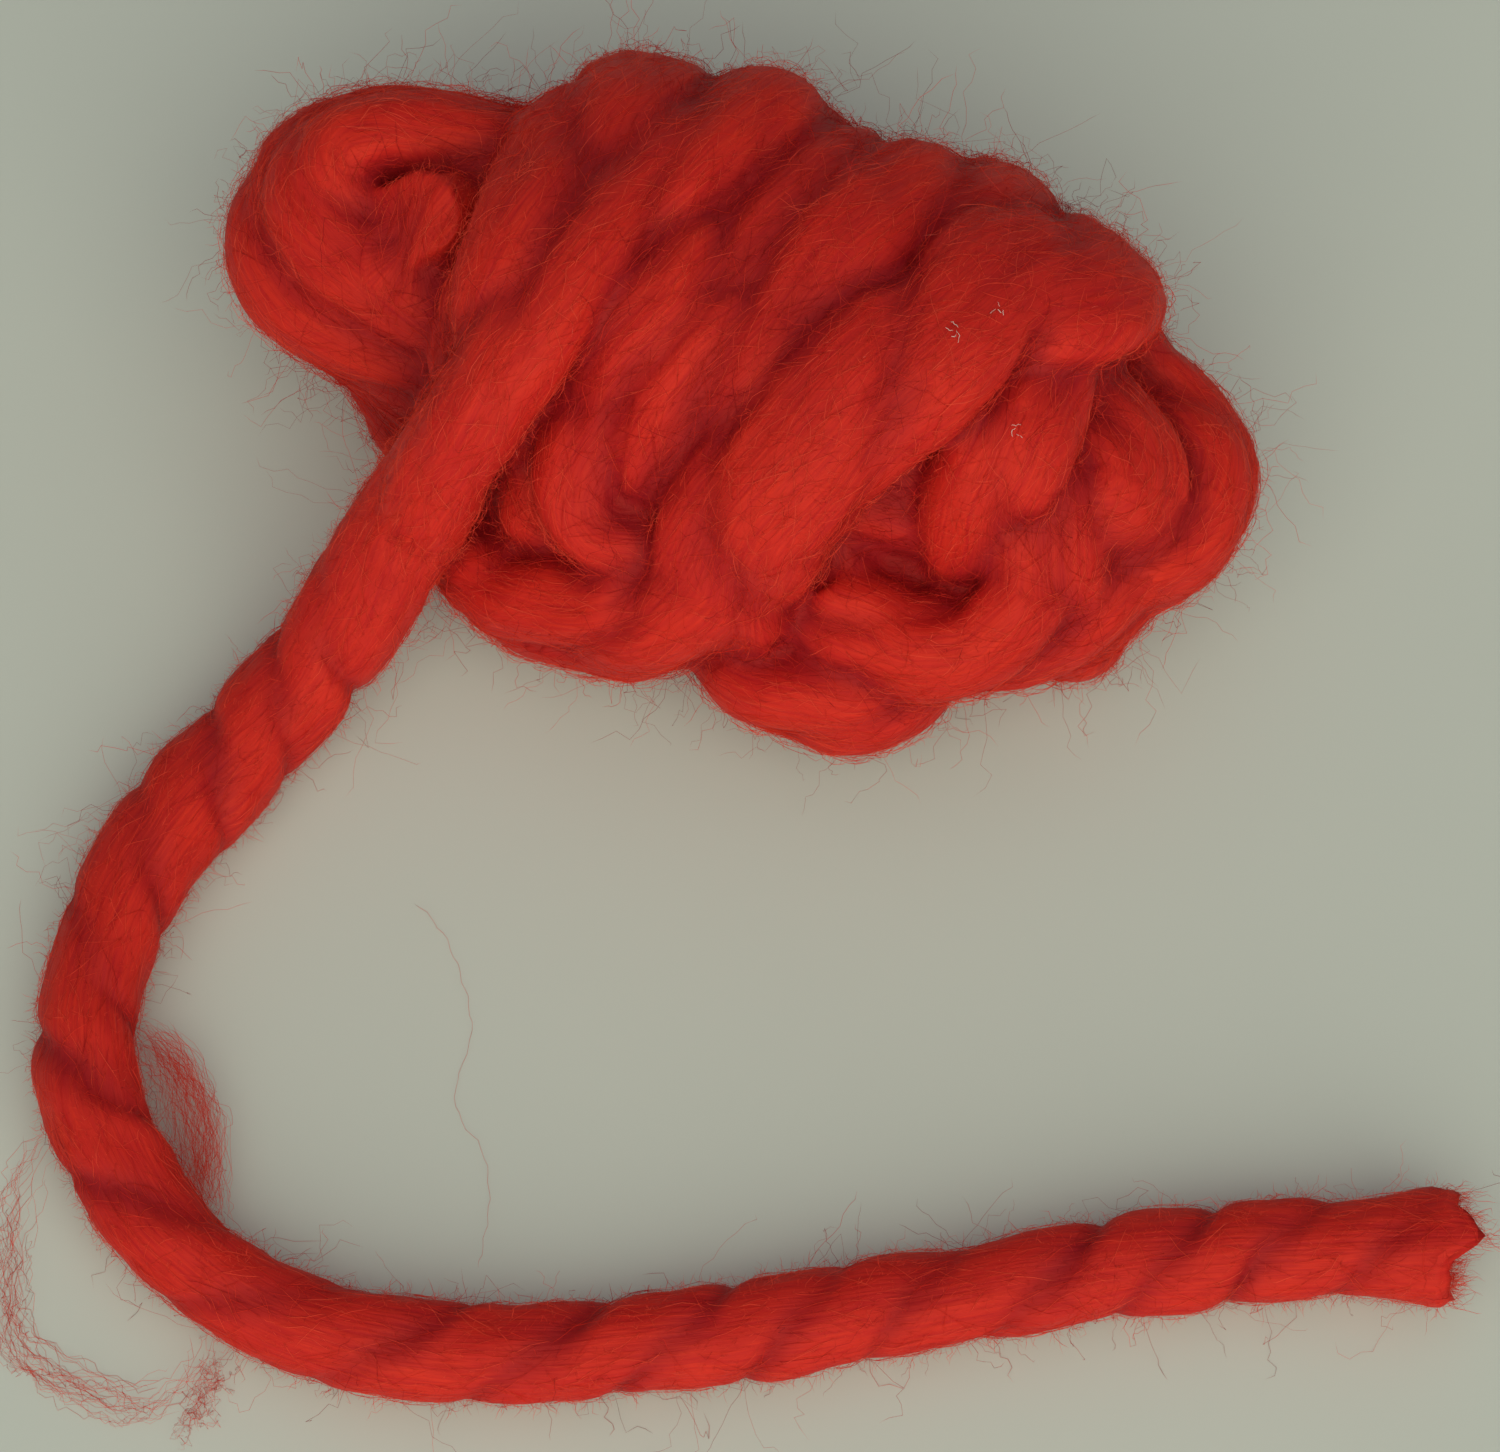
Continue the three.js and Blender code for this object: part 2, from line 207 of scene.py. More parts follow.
CUT_RAGGED = 0.00022
CUT_RAGS = (7, 12)  # teeth round the rim, of two sizes
CUT_ROUNDED = 0.12
CUT_RIM = 0.0014  # length in which the rim is rounded
# A tongue is left at the cut, between two angles from the top of the section and longest at the second
TONGUE_LENGTH = 0.0030
TONGUE_FAR = math.radians(85)
TONGUE_NEAR = math.radians(-12)
TONGUE_EDGE = math.radians(14)  # in which it comes to an end
UNEVEN = ((0.047, 0.2), (0.013, 0.25))  # lengths in which the plies show more and less, and by what share
SEAM_PLAIN = 0.016  # to either side of the exit, where the plies hardly show
SEAM = 0.005  # to either side of the exit, where the skins of the ball and the loose end meet
SEAM_SLIM = 0.1  # how much thinner the loose end's skin starts there, as a share
SPAN_POINTS = 40  # between two anchors of a line
YARN_POINTS = 1200
YARN_SIDES = 40
LOOSE_RING = 0.00045  # length between two rings of its skin
LOOSE_CAPS = (0.001, 0.0012)  # depths of its end faces
FLOOR_CLEAR = 0.00003
LOOSE_PAINTED_SHADE = (-0.12, 0.48)  # painted shade of its crests and grooves, as millimetres into a hollow
CREST, CREASE = -0.20, 0.65  # millimetres into a hollow, between which painted shade darkens the wool
PAINTED_SHADE_MOST = 0.62  # by what share of painted shade at most
# colour of the painted shade that darkens the creases
WOOL_PAINTED_SHADE = (0.21, 0.002, 0.014, 1)
WOOL_DEEP = (0.50, 0.006, 0.013, 1)
WOOL_BRIGHT = (0.76, 0.030, 0.014, 1)
# Streaks of the fibres and of their locks: repeats in each millimetre along and across, and detail
FINE_STREAKS = (0.22, 3.4, 4)
LOCK_STREAKS = (0.07, 0.75, 2)
STREAK_ROUGHNESS = 0.6
STREAK_ENDS = (0.28, 0.72)  # values at which a streak is deepest and brightest
DYE_PATCHES = 70  # in each metre
# Values between which locks are bright and dye is deep, and by what share at most
LOCKS_BRIGHT = (0.35, 0.75, 0.5)
DYE_DEEP = (0.4, 0.8, 0.4)
STREAK_BUMP = {"Strength": 0.5, "Distance": 0.0004}
FINE_RAISED = 0.6  # height of the fine streaks, as a share of the locks' height
STREAKS_APART = 0.37  # shift of the map from strand to strand, so that their streaks differ
WOOL_SURFACE = {
    "Roughness": 0.6, "Specular IOR Level": 0.28, "Specular Tint": (1.0, 0.7, 0.45, 1),
    "Sheen Weight": 0.03, "Sheen Roughness": 0.5, "Sheen Tint": (1.0, 0.25, 0.2, 1),
}


def on_ball(along, across, height):
    """Places from the ball's own axes in the shared frame."""
    x = along * math.cos(BALL_YAW) - across * math.sin(BALL_YAW)
    y = along * math.sin(BALL_YAW) + across * math.cos(BALL_YAW)
    return np.stack([x, y, height + 0 * x], axis=-1)


def oval(angle, square):
    """A rounded oval with half sizes of 1."""
    c, s = np.cos(angle), np.sin(angle)
    stretch = (np.abs(c) ** square + np.abs(s) ** square) ** (-1 / square)
    return c * stretch, s * stretch


def wrap_line(row, angle):
    """A wrap across the ball. The angle is 0 at the crown and turns towards the near side."""
    c, s = oval(angle, WRAP_SQUARENESS)
    across = -s * np.where(s > 0, row["near"], row["far"])
    shift = across * np.where(s > 0, row["lean"][1], row["lean"][0])
    height = (row["crown"] + row["foot"]) / 2 + c * (row["crown"] - row["foot"]) / 2
    return on_ball(row["station"] + shift, across, height)


def smoothstep(value, low, high):
    share = np.clip((value - low) / (high - low), 0, 1)
    return share * share * (3 - 2 * share)


def unit(vectors):
    return vectors / np.maximum(np.linalg.norm(vectors, axis=-1, keepdims=True), 1e-12)


def smooth_line(anchors):
    """Points close together on a smooth curve through the anchors."""
    first = 2 * anchors[:1] - anchors[1:2]
    last = 2 * anchors[-1:] - anchors[-2:-1]
    held = np.concatenate([first, anchors, last])
    roots = np.sqrt(np.linalg.norm(np.diff(held, axis=0), axis=1))
    t = np.linspace(0, 1, SPAN_POINTS, endpoint=False)[:, None]
    spans = []
    for i in range(1, len(held) - 2):
        before, start, end, after = held[i - 1:i + 3]
        into, span, onward = roots[i - 1:i + 2]
        leave = (start - before) / into - (end - before) / (into + span) + (end - start) / span
        arrive = (end - start) / span - (after - start) / (span + onward) + (after - end) / onward
        curve = (2 * t**3 - 3 * t**2 + 1) * start + (3 * t**2 - 2 * t**3) * end
        spans.append(curve + (t**3 - 2 * t**2 + t) * leave * span + (t**3 - t**2) * arrive * span)
    return np.concatenate([*spans, anchors[-1:]])


def lengths_along(line):
    return np.concatenate([[0], np.cumsum(np.linalg.norm(np.diff(line, axis=0), axis=1))])


def evenly(line, count):
    """The line again, with its points evenly spaced."""
    along = lengths_along(line)
    at = np.linspace(0, along[-1], count)
    return np.stack([np.interp(at, along, line[:, axis]) for axis in range(3)], axis=1)


class Strand:
    """Two-ply yarn along evenly spaced points. outward says which way is up off the ball or the floor."""

    MIDDLE, OUT, SIDE = slice(0, 3), slice(3, 6), slice(6, 9)
    TURNED, THICK, WIDE, HIGH, DEPTH, SWELL = range(9, 15)

    def __init__(self, line, outward, turned, thick, wide, high, depth, swell, closed, rng):
        ahead = np.gradient(line, axis=0)
        if closed:
            ahead[[0, -1]] = line[1] - line[-2]
        ahead = unit(ahead)
        out = unit(outward - (outward * ahead).sum(1, keepdims=True) * ahead)
        side = np.cross(ahead, out)
        sizes = [np.broadcast_to(size, len(line)) for size in (turned, thick, wide, high, depth, swell)]
        self.table = np.column_stack([line, out, side, *sizes])
        self.length = lengths_along(line)[-1]
        self.closed = closed
        self.lump_counts = np.maximum(1, np.round(self.length / LUMP_LENGTHS))
        self.lump_starts = rng.uniform(0, 2 * math.pi, len(LUMP_LENGTHS))
        self.number = int(rng.integers(1000))

    def at(self, along):
        """The table's row at each length along the yarn."""
        along = np.mod(along, self.length) if self.closed else np.clip(along, 0, self.length)
        step = along / self.length * (len(self.table) - 1)
        low = np.minimum(step.astype(int), len(self.table) - 2)
        share = (step - low)[..., None]
        return self.table[low] * (1 - share) + self.table[low + 1] * share

    def surface(self, along, angle):
        """Places at lengths along the yarn and angles from a ply's crest."""
        along, angle = np.broadcast_arrays(along, angle)
        row = self.at(along)
        turned = angle + row[..., self.TURNED]
        groove = row[..., self.DEPTH] * np.exp(-((np.cos(angle) / GROOVE_WIDTH) ** 2))
        plies = 1 + row[..., self.SWELL] * np.cos(2 * angle) - groove
        lumps = 1 + 0 * turned
        for count, start, share, lobes in zip(self.lump_counts, self.lump_starts, LUMP_SHARES, LUMP_LOBES):
            lumps = lumps + share * np.sin(2 * math.pi * count * along / self.length + lobes * turned + start)
        reach = row[..., self.THICK] / 2 * plies * lumps
        out = (reach * np.cos(turned) * row[..., self.HIGH])[..., None] * row[..., self.OUT]
        side = (reach * np.sin(turned) * row[..., self.WIDE])[..., None] * row[..., self.SIDE]
        places = row[..., self.MIDDLE] + out + side
        places[..., 2] = np.maximum(places[..., 2], FLOOR_CLEAR)
        return places


def tube(strand, first, last, rings, sides, caps=(None, None), slim=0.0):
    """Places and faces of a strand's skin between two lengths. caps are the depths of its end faces.
    slim is how much thinner each ring is, as a share."""
    along = np.linspace(first, last, rings, endpoint=not strand.closed)
    angle = GROOVE + np.linspace(0, 2 * math.pi, sides, endpoint=False)
    middles = strand.at(along)[:, None, Strand.MIDDLE]
    places = strand.surface(along[:, None], angle[None, :])
    places = (places + (middles - places) * np.broadcast_to(slim, rings)[:, None, None]).reshape(-1, 3)
    ring, corner = np.divmod(np.arange((rings if strand.closed else rings - 1) * sides), sides)
    rows = np.stack([ring, ring, ring + 1, ring + 1], axis=1) % rings
    columns = np.stack([corner, corner + 1, corner + 1, corner], axis=1) % sides
    faces = (rows * sides + columns).tolist()
    for ring, inward, depth in ((0, 1, caps[0]), (rings - 1, -1, caps[1])):
        if depth is None:
            continue
        middle = strand.at(np.array(along[ring] + inward * depth))[Strand.MIDDLE]
        tip = len(places)
        places = np.concatenate([places, middle[None]])
        around = np.arange(sides)
        pairs = np.stack([around, (around + 1) % sides][::inward], axis=1) + ring * sides
        faces += [[tip, b, a] for a, b in pairs.tolist()]
    return places, faces


def piece_from(name, parts):
    """One object from parts of places and faces."""
    places, faces, start = [], [], 0
    for part_places, part_faces in parts:
        places.append(part_places)
        faces += [[corner + start for corner in face] for face in part_faces]
        start += len(part_places)
    mesh = bpy.data.meshes.new(name)
    mesh.from_pydata(np.concatenate(places).tolist(), [], faces)
    piece = bpy.data.objects.new(name, mesh)
    bpy.context.collection.objects.link(piece)
    return piece


def numbers_of(items, name, kind=np.float32):
    """One number from each item of a mesh."""
    values = np.empty(len(items), kind)
    items.foreach_get(name, values)
    return values


def vectors_of(items, name):
    """One vector from each item of a mesh."""
    values = np.empty(len(items) * 3, np.float32)
    items.foreach_get(name, values)
    return values.reshape(-1, 3).astype(float)


def nearest_rows(strands, places):
    """For each place, the row of the strand that lies nearest, its number and the length along it."""
    tables = np.concatenate([strand.table for strand in strands])
    numbers = np.concatenate([np.full(len(strand.table), strand.number) for strand in strands])
    lengths = np.concatenate([np.linspace(0, strand.length, len(strand.table)) for strand in strands])
    tree = KDTree(len(tables))
    for i, middle in enumerate(tables[:, Strand.MIDDLE].tolist()):
        tree.insert(middle, i)
    tree.balance()
    found = np.array([tree.find(place)[1] for place in places.tolist()])
    return tables[found], numbers[found], lengths[found]


def map_fibres(mesh, strands):
    """A map in millimetres along and around the strand that each face lies on, for the fibres' streaks."""
    places = vectors_of(mesh.vertices, "co")
    corners = numbers_of(mesh.loops, "vertex_index", np.int32)
    counts = numbers_of(mesh.polygons, "loop_total", np.int32)
    starts = numbers_of(mesh.polygons, "loop_start", np.int32)
    corner_places = places[corners]
    face_middles = np.add.reduceat(corner_places, starts) / counts[:, None]
    rows, numbers, lengths = nearest_rows(strands, face_middles)
    face_of = np.repeat(np.arange(len(counts)), counts)
    rows, numbers, lengths = rows[face_of], numbers[face_of], lengths[face_of]
    out, side = rows[:, Strand.OUT], rows[:, Strand.SIDE]
    offset = corner_places - rows[:, Strand.MIDDLE]
    along = lengths + (offset * np.cross(out, side)).sum(1)
    angle = np.arctan2((offset * side).sum(1), (offset * out).sum(1))
    first_angle = angle[starts][face_of]
    angle = first_angle + np.mod(angle - first_angle + math.pi, 2 * math.pi) - math.pi
    fibres = np.stack([along + numbers * STREAKS_APART, angle * rows[:, Strand.THICK] / 2], axis=1) * 1000
    mesh.uv_layers.new(name="Fibres").uv.foreach_set("vector", fibres.astype(np.float32).ravel())


def raise_locks(mesh, strands):
    """Raises the locks of fibre that the plies are drawn from, long and narrow along each strand."""
    places = vectors_of(mesh.vertices, "co")
    rows, numbers, lengths = nearest_rows(strands, places)
    offset = places - rows[:, Strand.MIDDLE]
    angle = np.arctan2((offset * rows[:, Strand.SIDE]).sum(1), (offset * rows[:, Strand.OUT]).sum(1))
    around = (angle * rows[:, Strand.THICK] / 2 + LOCK_SLANT * lengths) / LOCK_WIDTH
    spots = np.stack([lengths / LOCK_LENGTH, around, numbers * LOCKS_APART], axis=1).tolist()
    raised = np.array([noise.noise(spot) for spot in spots]) * LOCK_RAISED
    places += raised[:, None] * vectors_of(mesh.vertex_normals, "vector")
    places[:, 2] = np.maximum(places[:, 2], FLOOR_CLEAR)
    mesh.vertices.foreach_set("co", places.astype(np.float32).ravel())


def note_hollows(mesh, depths):
    """Keeps how deep each point lies in a crease, in millimetres, which sets the painted shade there."""
    mesh.attributes.new("Hollow", "FLOAT", "POINT").data.foreach_set("value", depths.astype(np.float32))


def share_between(tree, value, low, high, most):
    """The socket of a share that grows from 0 to most while a value goes from low to high."""
    ends = {"From Min": low, "From Max": high, "To Max": most}
    return add_node(tree, "ShaderNodeMapRange", Value=value, **ends).outputs["Result"]


def wool_material():
    """Soft wool: fibres streak the colour along the yarn, the dye is uneven from place to place, and creases
    get painted shade.
    """
    material, tree, shader = new_material("red_wool", WOOL_SURFACE)
    fibre_map = add_node(tree, "ShaderNodeUVMap", uv_map="Fibres")
    where = add_node(tree, "ShaderNodeTexCoord")

    def streaks(along, across, detail):
        stretch = add_node(tree, "ShaderNodeMapping", Scale=(along, across, 1))
        grain = add_node(tree, "ShaderNodeTexNoise", Scale=1, Detail=detail, Roughness=STREAK_ROUGHNESS)
        set_socket(tree, stretch.inputs["Vector"], fibre_map.outputs["UV"])
        set_socket(tree, grain.inputs["Vector"], stretch.outputs["Vector"])
        return grain.outputs["Fac"]

    fine = streaks(*FINE_STREAKS)
    locks = streaks(*LOCK_STREAKS)
    dye = add_node(tree, "ShaderNodeTexNoise", Vector=where.outputs["Object"], Scale=DYE_PATCHES, Detail=2)
    ramp = add_node(tree, "ShaderNodeValToRGB", Fac=fine)
    for end, position, colour in zip(ramp.color_ramp.elements, STREAK_ENDS, (WOOL_DEEP, WOOL_BRIGHT)):
        end.position = position
        end.color = colour
    locked = mixed(tree, share_between(tree, locks, *LOCKS_BRIGHT), ramp.outputs["Color"], WOOL_BRIGHT)
    dyed = mixed(tree, share_between(tree, dye.outputs["Fac"], *DYE_DEEP), locked, WOOL_DEEP)
    # Painted shade: the deeper a point lies in a crease, the nearer its colour goes to the shade colour
    hollow = add_node(tree, "ShaderNodeAttribute", attribute_name="Hollow")
    shade = share_between(tree, hollow.outputs["Fac"], CREST, CREASE, PAINTED_SHADE_MOST)
    set_socket(tree, shader.inputs["Base Color"], mixed(tree, shade, dyed, WOOL_PAINTED_SHADE))
    height = add_node(tree, "ShaderNodeMath", operation="MULTIPLY_ADD")
    for socket, value in zip(height.inputs, (fine, FINE_RAISED, locks)):
        set_socket(tree, socket, value)
    bump = add_node(tree, "ShaderNodeBump", Height=height.outputs["Value"], **STREAK_BUMP)
    set_socket(tree, shader.inputs["Normal"], bump.outputs["Normal"])
    return material


def past_end(places, middle):
    """How far the cut leaves each part of the section past its middle: a tongue, and the rest cut back."""
    offset = places - middle
    angle = np.arctan2(offset[:, 1], offset[:, 2])
    ramp = np.clip((TONGUE_FAR - angle) / (TONGUE_FAR - TONGUE_NEAR), 0, 1)
    tongue = TONGUE_LENGTH * ramp * smoothstep(angle, TONGUE_NEAR - TONGUE_EDGE, TONGUE_NEAR)
    coarse, fine = CUT_RAGS
    return tongue - CUT_BACK + CUT_RAGGED * (np.sin(coarse * angle) + np.sin(fine * angle + 2))


red_wool = wool_material()
wrap_anchors = [on_ball(*np.array(LAST_WRAP_ROOT))]
wrap_anchors += [wrap_line(LAST_WRAP, math.radians(degrees)) for degrees in LAST_WRAP_ANGLES]
dense = smooth_line(np.concatenate([wrap_anchors, ROUTE]))
exit_along = lengths_along(dense)[len(wrap_anchors) * SPAN_POINTS]
yarn_line = evenly(dense, YARN_POINTS)
yarn_along = np.linspace(0, lengths_along(yarn_line)[-1], YARN_POINTS)
yarn_end = yarn_along[-1]
laid = smoothstep(yarn_along, exit_along + TO_FLOOR[0], exit_along + TO_FLOOR[1])
closed_up = smoothstep(yarn_along, exit_along, exit_along + LOOSE_CLOSES)
pressed = smoothstep(yarn_along, exit_along + TO_PRESSED[0], exit_along + TO_PRESSED[1])
slackened = smoothstep(yarn_along, exit_along, exit_along - WOUND_CLOSES)
far_side = smoothstep(yarn_along, exit_along + TO_FAR_SIDE[0], exit_along + TO_FAR_SIDE[1])
cut = smoothstep(yarn_along, yarn_end - CUT_LENGTH, yarn_end)
plies_show = 1 - np.exp(-(((yarn_along - exit_along) / SEAM_PLAIN) ** 2))
for length, share in UNEVEN:
    plies_show = plies_show * (1 + share * np.sin(2 * math.pi * yarn_along / length))
from_ball = unit(yarn_line - on_ball(*np.array(BALL_MIDDLE)))
yarn_outward = from_ball * (1 - laid[:, None]) + np.array([0, 0, 1]) * laid[:, None]
yarn_thick = EXIT_THICK + (WOUND_THICK - EXIT_THICK) * slackened + (LOOSE_THICK - EXIT_THICK) * closed_up
yarn_thick = yarn_thick + (FAR_THICK - WOUND_THICK) * far_side
half_turns = np.interp(yarn_along - exit_along, CREASES, range(len(CREASES)))
half_turns = half_turns - LINGER / (2 * math.pi) * np.sin(2 * math.pi * half_turns)
yarn = Strand(
    yarn_line,
    yarn_outward,
    -GROOVE - math.pi * half_turns,
    yarn_thick * (1 + CUT_FLARE * cut),
    WOUND_WIDE + WIDER_ON_FLOOR * laid + WIDER_FAR * far_side + CUT_FLAT * cut,
    WOUND_HIGH + HIGHER_ON_FLOOR * laid + HIGHER_FAR * far_side - CUT_FLAT * cut,
    (LOOSE_GROOVE + (WOUND_GROOVE - LOOSE_GROOVE) * pressed) * (1 - CUT_PLAIN * cut) * plies_show,
    (LOOSE_SWELL + (WOUND_SWELL - LOOSE_SWELL) * pressed) * (1 - CUT_PLAIN * cut) * plies_show,
    False,
    np.random.default_rng(3),
)
loose_start = exit_along - SEAM
loose_rings = int((yarn_end - loose_start) / LOOSE_RING)
ring_along = np.linspace(loose_start, yarn_end, loose_rings)
loose_slim = SEAM_SLIM * (1 - smoothstep(ring_along, loose_start, exit_along + SEAM))
loose_slim = loose_slim + CUT_ROUNDED * smoothstep(ring_along, yarn_end - CUT_RIM, yarn_end)
loose_skin = tube(yarn, loose_start, yarn_end, loose_rings, YARN_SIDES, LOOSE_CAPS, loose_slim)
loose_places, loose_faces = loose_skin
end_row = yarn.at(np.array(yarn_end))
past_cut = smoothstep(loose_places[:, 0], end_row[0] - CUT_LENGTH / 2, end_row[0])
near_cut = np.arange(len(loose_places)) > len(loose_places) / 2
loose_places[:, 0] += near_cut * past_cut * past_end(loose_places, end_row[Strand.MIDDLE])
loose_end = piece_from("loose_yarn", [(loose_places, loose_faces)])
raise_locks(loose_end.data, [yarn])
map_fibres(loose_end.data, [yarn])
# Painted shade along the grooves between the plies, darkest in the middle of each groove
crest_shade, groove_shade = LOOSE_PAINTED_SHADE
around = GROOVE + np.linspace(0, 2 * math.pi, YARN_SIDES, endpoint=False)
in_groove = np.exp(-((np.cos(around) / PAINTED_SHADE_WIDTH) ** 2))
grooved = yarn.at(ring_along)[:, Strand.DEPTH] / LOOSE_GROOVE
shades = crest_shade + (groove_shade - crest_shade) * np.outer(grooved, in_groove).ravel()
note_hollows(loose_end.data, np.concatenate([shades, [crest_shade, groove_shade]]))
loose_end.data.shade_smooth()
loose_end.data.materials.append(red_wool)
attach(loose_end, "root")
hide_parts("loose_end")


# Fibres of the loose end
# Wool fibres that lie combed along the yarn, stand off it as curly fuzz and fray at the cut end.
# Some have worked loose inside the bend and near it: a tuft, two thin bundles and a single long hair.
LOOSE_LOWEST = 0.001  # height above which fibres have their roots
# shade: from 0 for deep to 1 for bright. lift: height above the skin. curl: radians turned on the way.
LAID = {
    "count": 3000, "points": 5, "length": (0.0018, 0.0055), "thick": (0.00003, 0.00005),
    "shade": (0.5, 0.9), "lift": (0.00002, 0.0004),
}
SHORT_FUZZ = {
    "count": 3000, "points": 4, "length": (0.0006, 0.0024), "thick": (0.00002, 0.000045),
    "shade": (0.55, 0.92), "curl": 1.2,
}
NAP = {
    "count": 12000, "points": 3, "length": (0.0004, 0.0019), "thick": (0.00002, 0.00004),
    "shade": (0.6, 0.92), "curl": 0.8,
}
LONG_FUZZ = {
    "count": 700, "points": 10, "length": (0.0025, 0.0120), "thick": (0.000018, 0.000034),
    "shade": (0.1, 0.7), "curl": 7.0,
}
FRAY = {
    "count": 620, "points": 5, "length": (0.0011, 0.0036), "thick": (0.00002, 0.000045),
    "shade": (0.5, 0.92), "curl": 1.2,
}
LAID_SPREAD = 0.5  # radians off the strand's direction
LAID_WANDER = 0.2  # radians that a laid fibre turns at each point
LAID_ARCH = (0.15, 2.6)  # stretch of a sine in which it lifts off and comes down
FUZZ_STANDS = (0.2, 1)  # shares by which the fuzz points out of the skin
FUZZ_COMBED = 0.7  # by which it points along the strand
FUZZ_SPREAD = 0.3  # and any way
FIBRE_PAINTED_SHADE = 0.45  # how much darker the fibres are painted in the creases, as shade
CRIMP = 0.9  # radians that a crimped fibre swings to either side
CRIMP_BEAT = 2.0  # radians of its wave at each point
CURL_DRIFT = 0.35  # how far the axis of its curl strays at each point
FRAY_REACH = 0.96  # share of the section that frays
FRAY_SPREAD = 0.28
FRAY_RIM = 0.0008  # distance before the end at which the rim is taken
FRAY_ROOT = 0.0004  # depth of the roots in the cut
FIBRE_DEEP = (0.28, 0.003, 0.011, 1)
FIBRE_MIDDLE = (0.72, 0.027, 0.015, 1)
FIBRE_BRIGHT = (0.92, 0.095, 0.048, 1)
LINT_WHITE = (0.85, 0.78, 0.70, 1)
FIBRE_SURFACE = {"Roughness": 0.85, "Specular IOR Level": 0.15}
# Places of the colours on the map's width, the share of it that the shades take, and a fibre's own share
MIDDLE_AT, BRIGHT_AT, LINT_AT = 0.5, 0.9, 0.945
SHADES_TAKE = 0.96
SIDE_TAKES = 0.01
LINE_POINTS = 200
STRAY = {"thick": (0.000018, 0.00003), "shade": (0.5, 0.92)}
TUFT_OUTER = [
    (-0.0485, -0.0471, 0.0034), (-0.0459, -0.0488, 0.0034), (-0.0438, -0.0515, 0.0032),
    (-0.0425, -0.0545, 0.0030), (-0.0422, -0.0583, 0.0030), (-0.0425, -0.0609, 0.0032),
    (-0.0419, -0.0639, 0.0034),
]
TUFT_INNER = [
    (-0.0490, -0.0483, 0.0034), (-0.0475, -0.0515, 0.0034), (-0.0465, -0.0551, 0.0032),
    (-0.0450, -0.0583, 0.0032), (-0.0429, -0.0616, 0.0034),
]
FIRST_BUNDLE = [
    (-0.0547, -0.0544, 0.0030), (-0.0578, -0.0594, 0.0012), (-0.0586, -0.0636, 0.0006),
    (-0.0587, -0.0677, 0.0004), (-0.0578, -0.0724, 0.0004), (-0.0552, -0.0750, 0.0005),
    (-0.0517, -0.0766, 0.0006), (-0.0480, -0.0775, 0.0008), (-0.0446, -0.0762, 0.0012),
    (-0.0430, -0.0745, 0.0020), (-0.0422, -0.0724, 0.0030),
]
SECOND_BUNDLE = [
    (-0.0420, -0.0729, 0.0024), (-0.0419, -0.0745, 0.0014), (-0.0429, -0.0779, 0.0006),
    (-0.0452, -0.0806, 0.0004),
]
LONG_HAIR = [
    (-0.0267, -0.0357, 0.0003), (-0.0245, -0.0381, 0.0003), (-0.0228, -0.0419, 0.0003),
    (-0.0219, -0.0466, 0.0003), (-0.0232, -0.0516, 0.0003), (-0.0228, -0.0540, 0.0003),
    (-0.0210, -0.0566, 0.0003), (-0.0203, -0.0608, 0.0003), (-0.0210, -0.0670, 0.0020),
]
# Strays, which lie between two of the lines above. apart: how far they stray from there.
# crimp: reach of their fine waves. whole: the least share of the lines that a fibre follows.
STRAYS = [
    {"lines": (TUFT_INNER, TUFT_OUTER), "count": 150, "points": 20,
     "apart": 0.0012, "crimp": 0.00018, "whole": 0.6},
    {"lines": (FIRST_BUNDLE, FIRST_BUNDLE), "count": 34, "points": 44,
     "apart": 0.0016, "crimp": 0.00030, "whole": 0.3},
    {"lines": (SECOND_BUNDLE, SECOND_BUNDLE), "count": 18, "points": 28,
     "apart": 0.0014, "crimp": 0.00030, "whole": 0.3},
    {"lines": (LONG_HAIR, LONG_HAIR), "count": 1, "points": 48,
     "apart": 0.0001, "crimp": 0.00010, "whole": 1.0},
]
STRAY_CROWD = (1.5, 0.7)  # they crowd towards the second line
STRAY_SPREAD = 0.45  # as a share of apart
STRAY_BENDS = (3, 14)  # radians of their slow bends in all, least and most
STRAY_BEND_REACH = 0.55  # as a share of apart
STRAY_CRIMPS = (1.1, 2.3)  # radians of their fine waves at each point, least and most


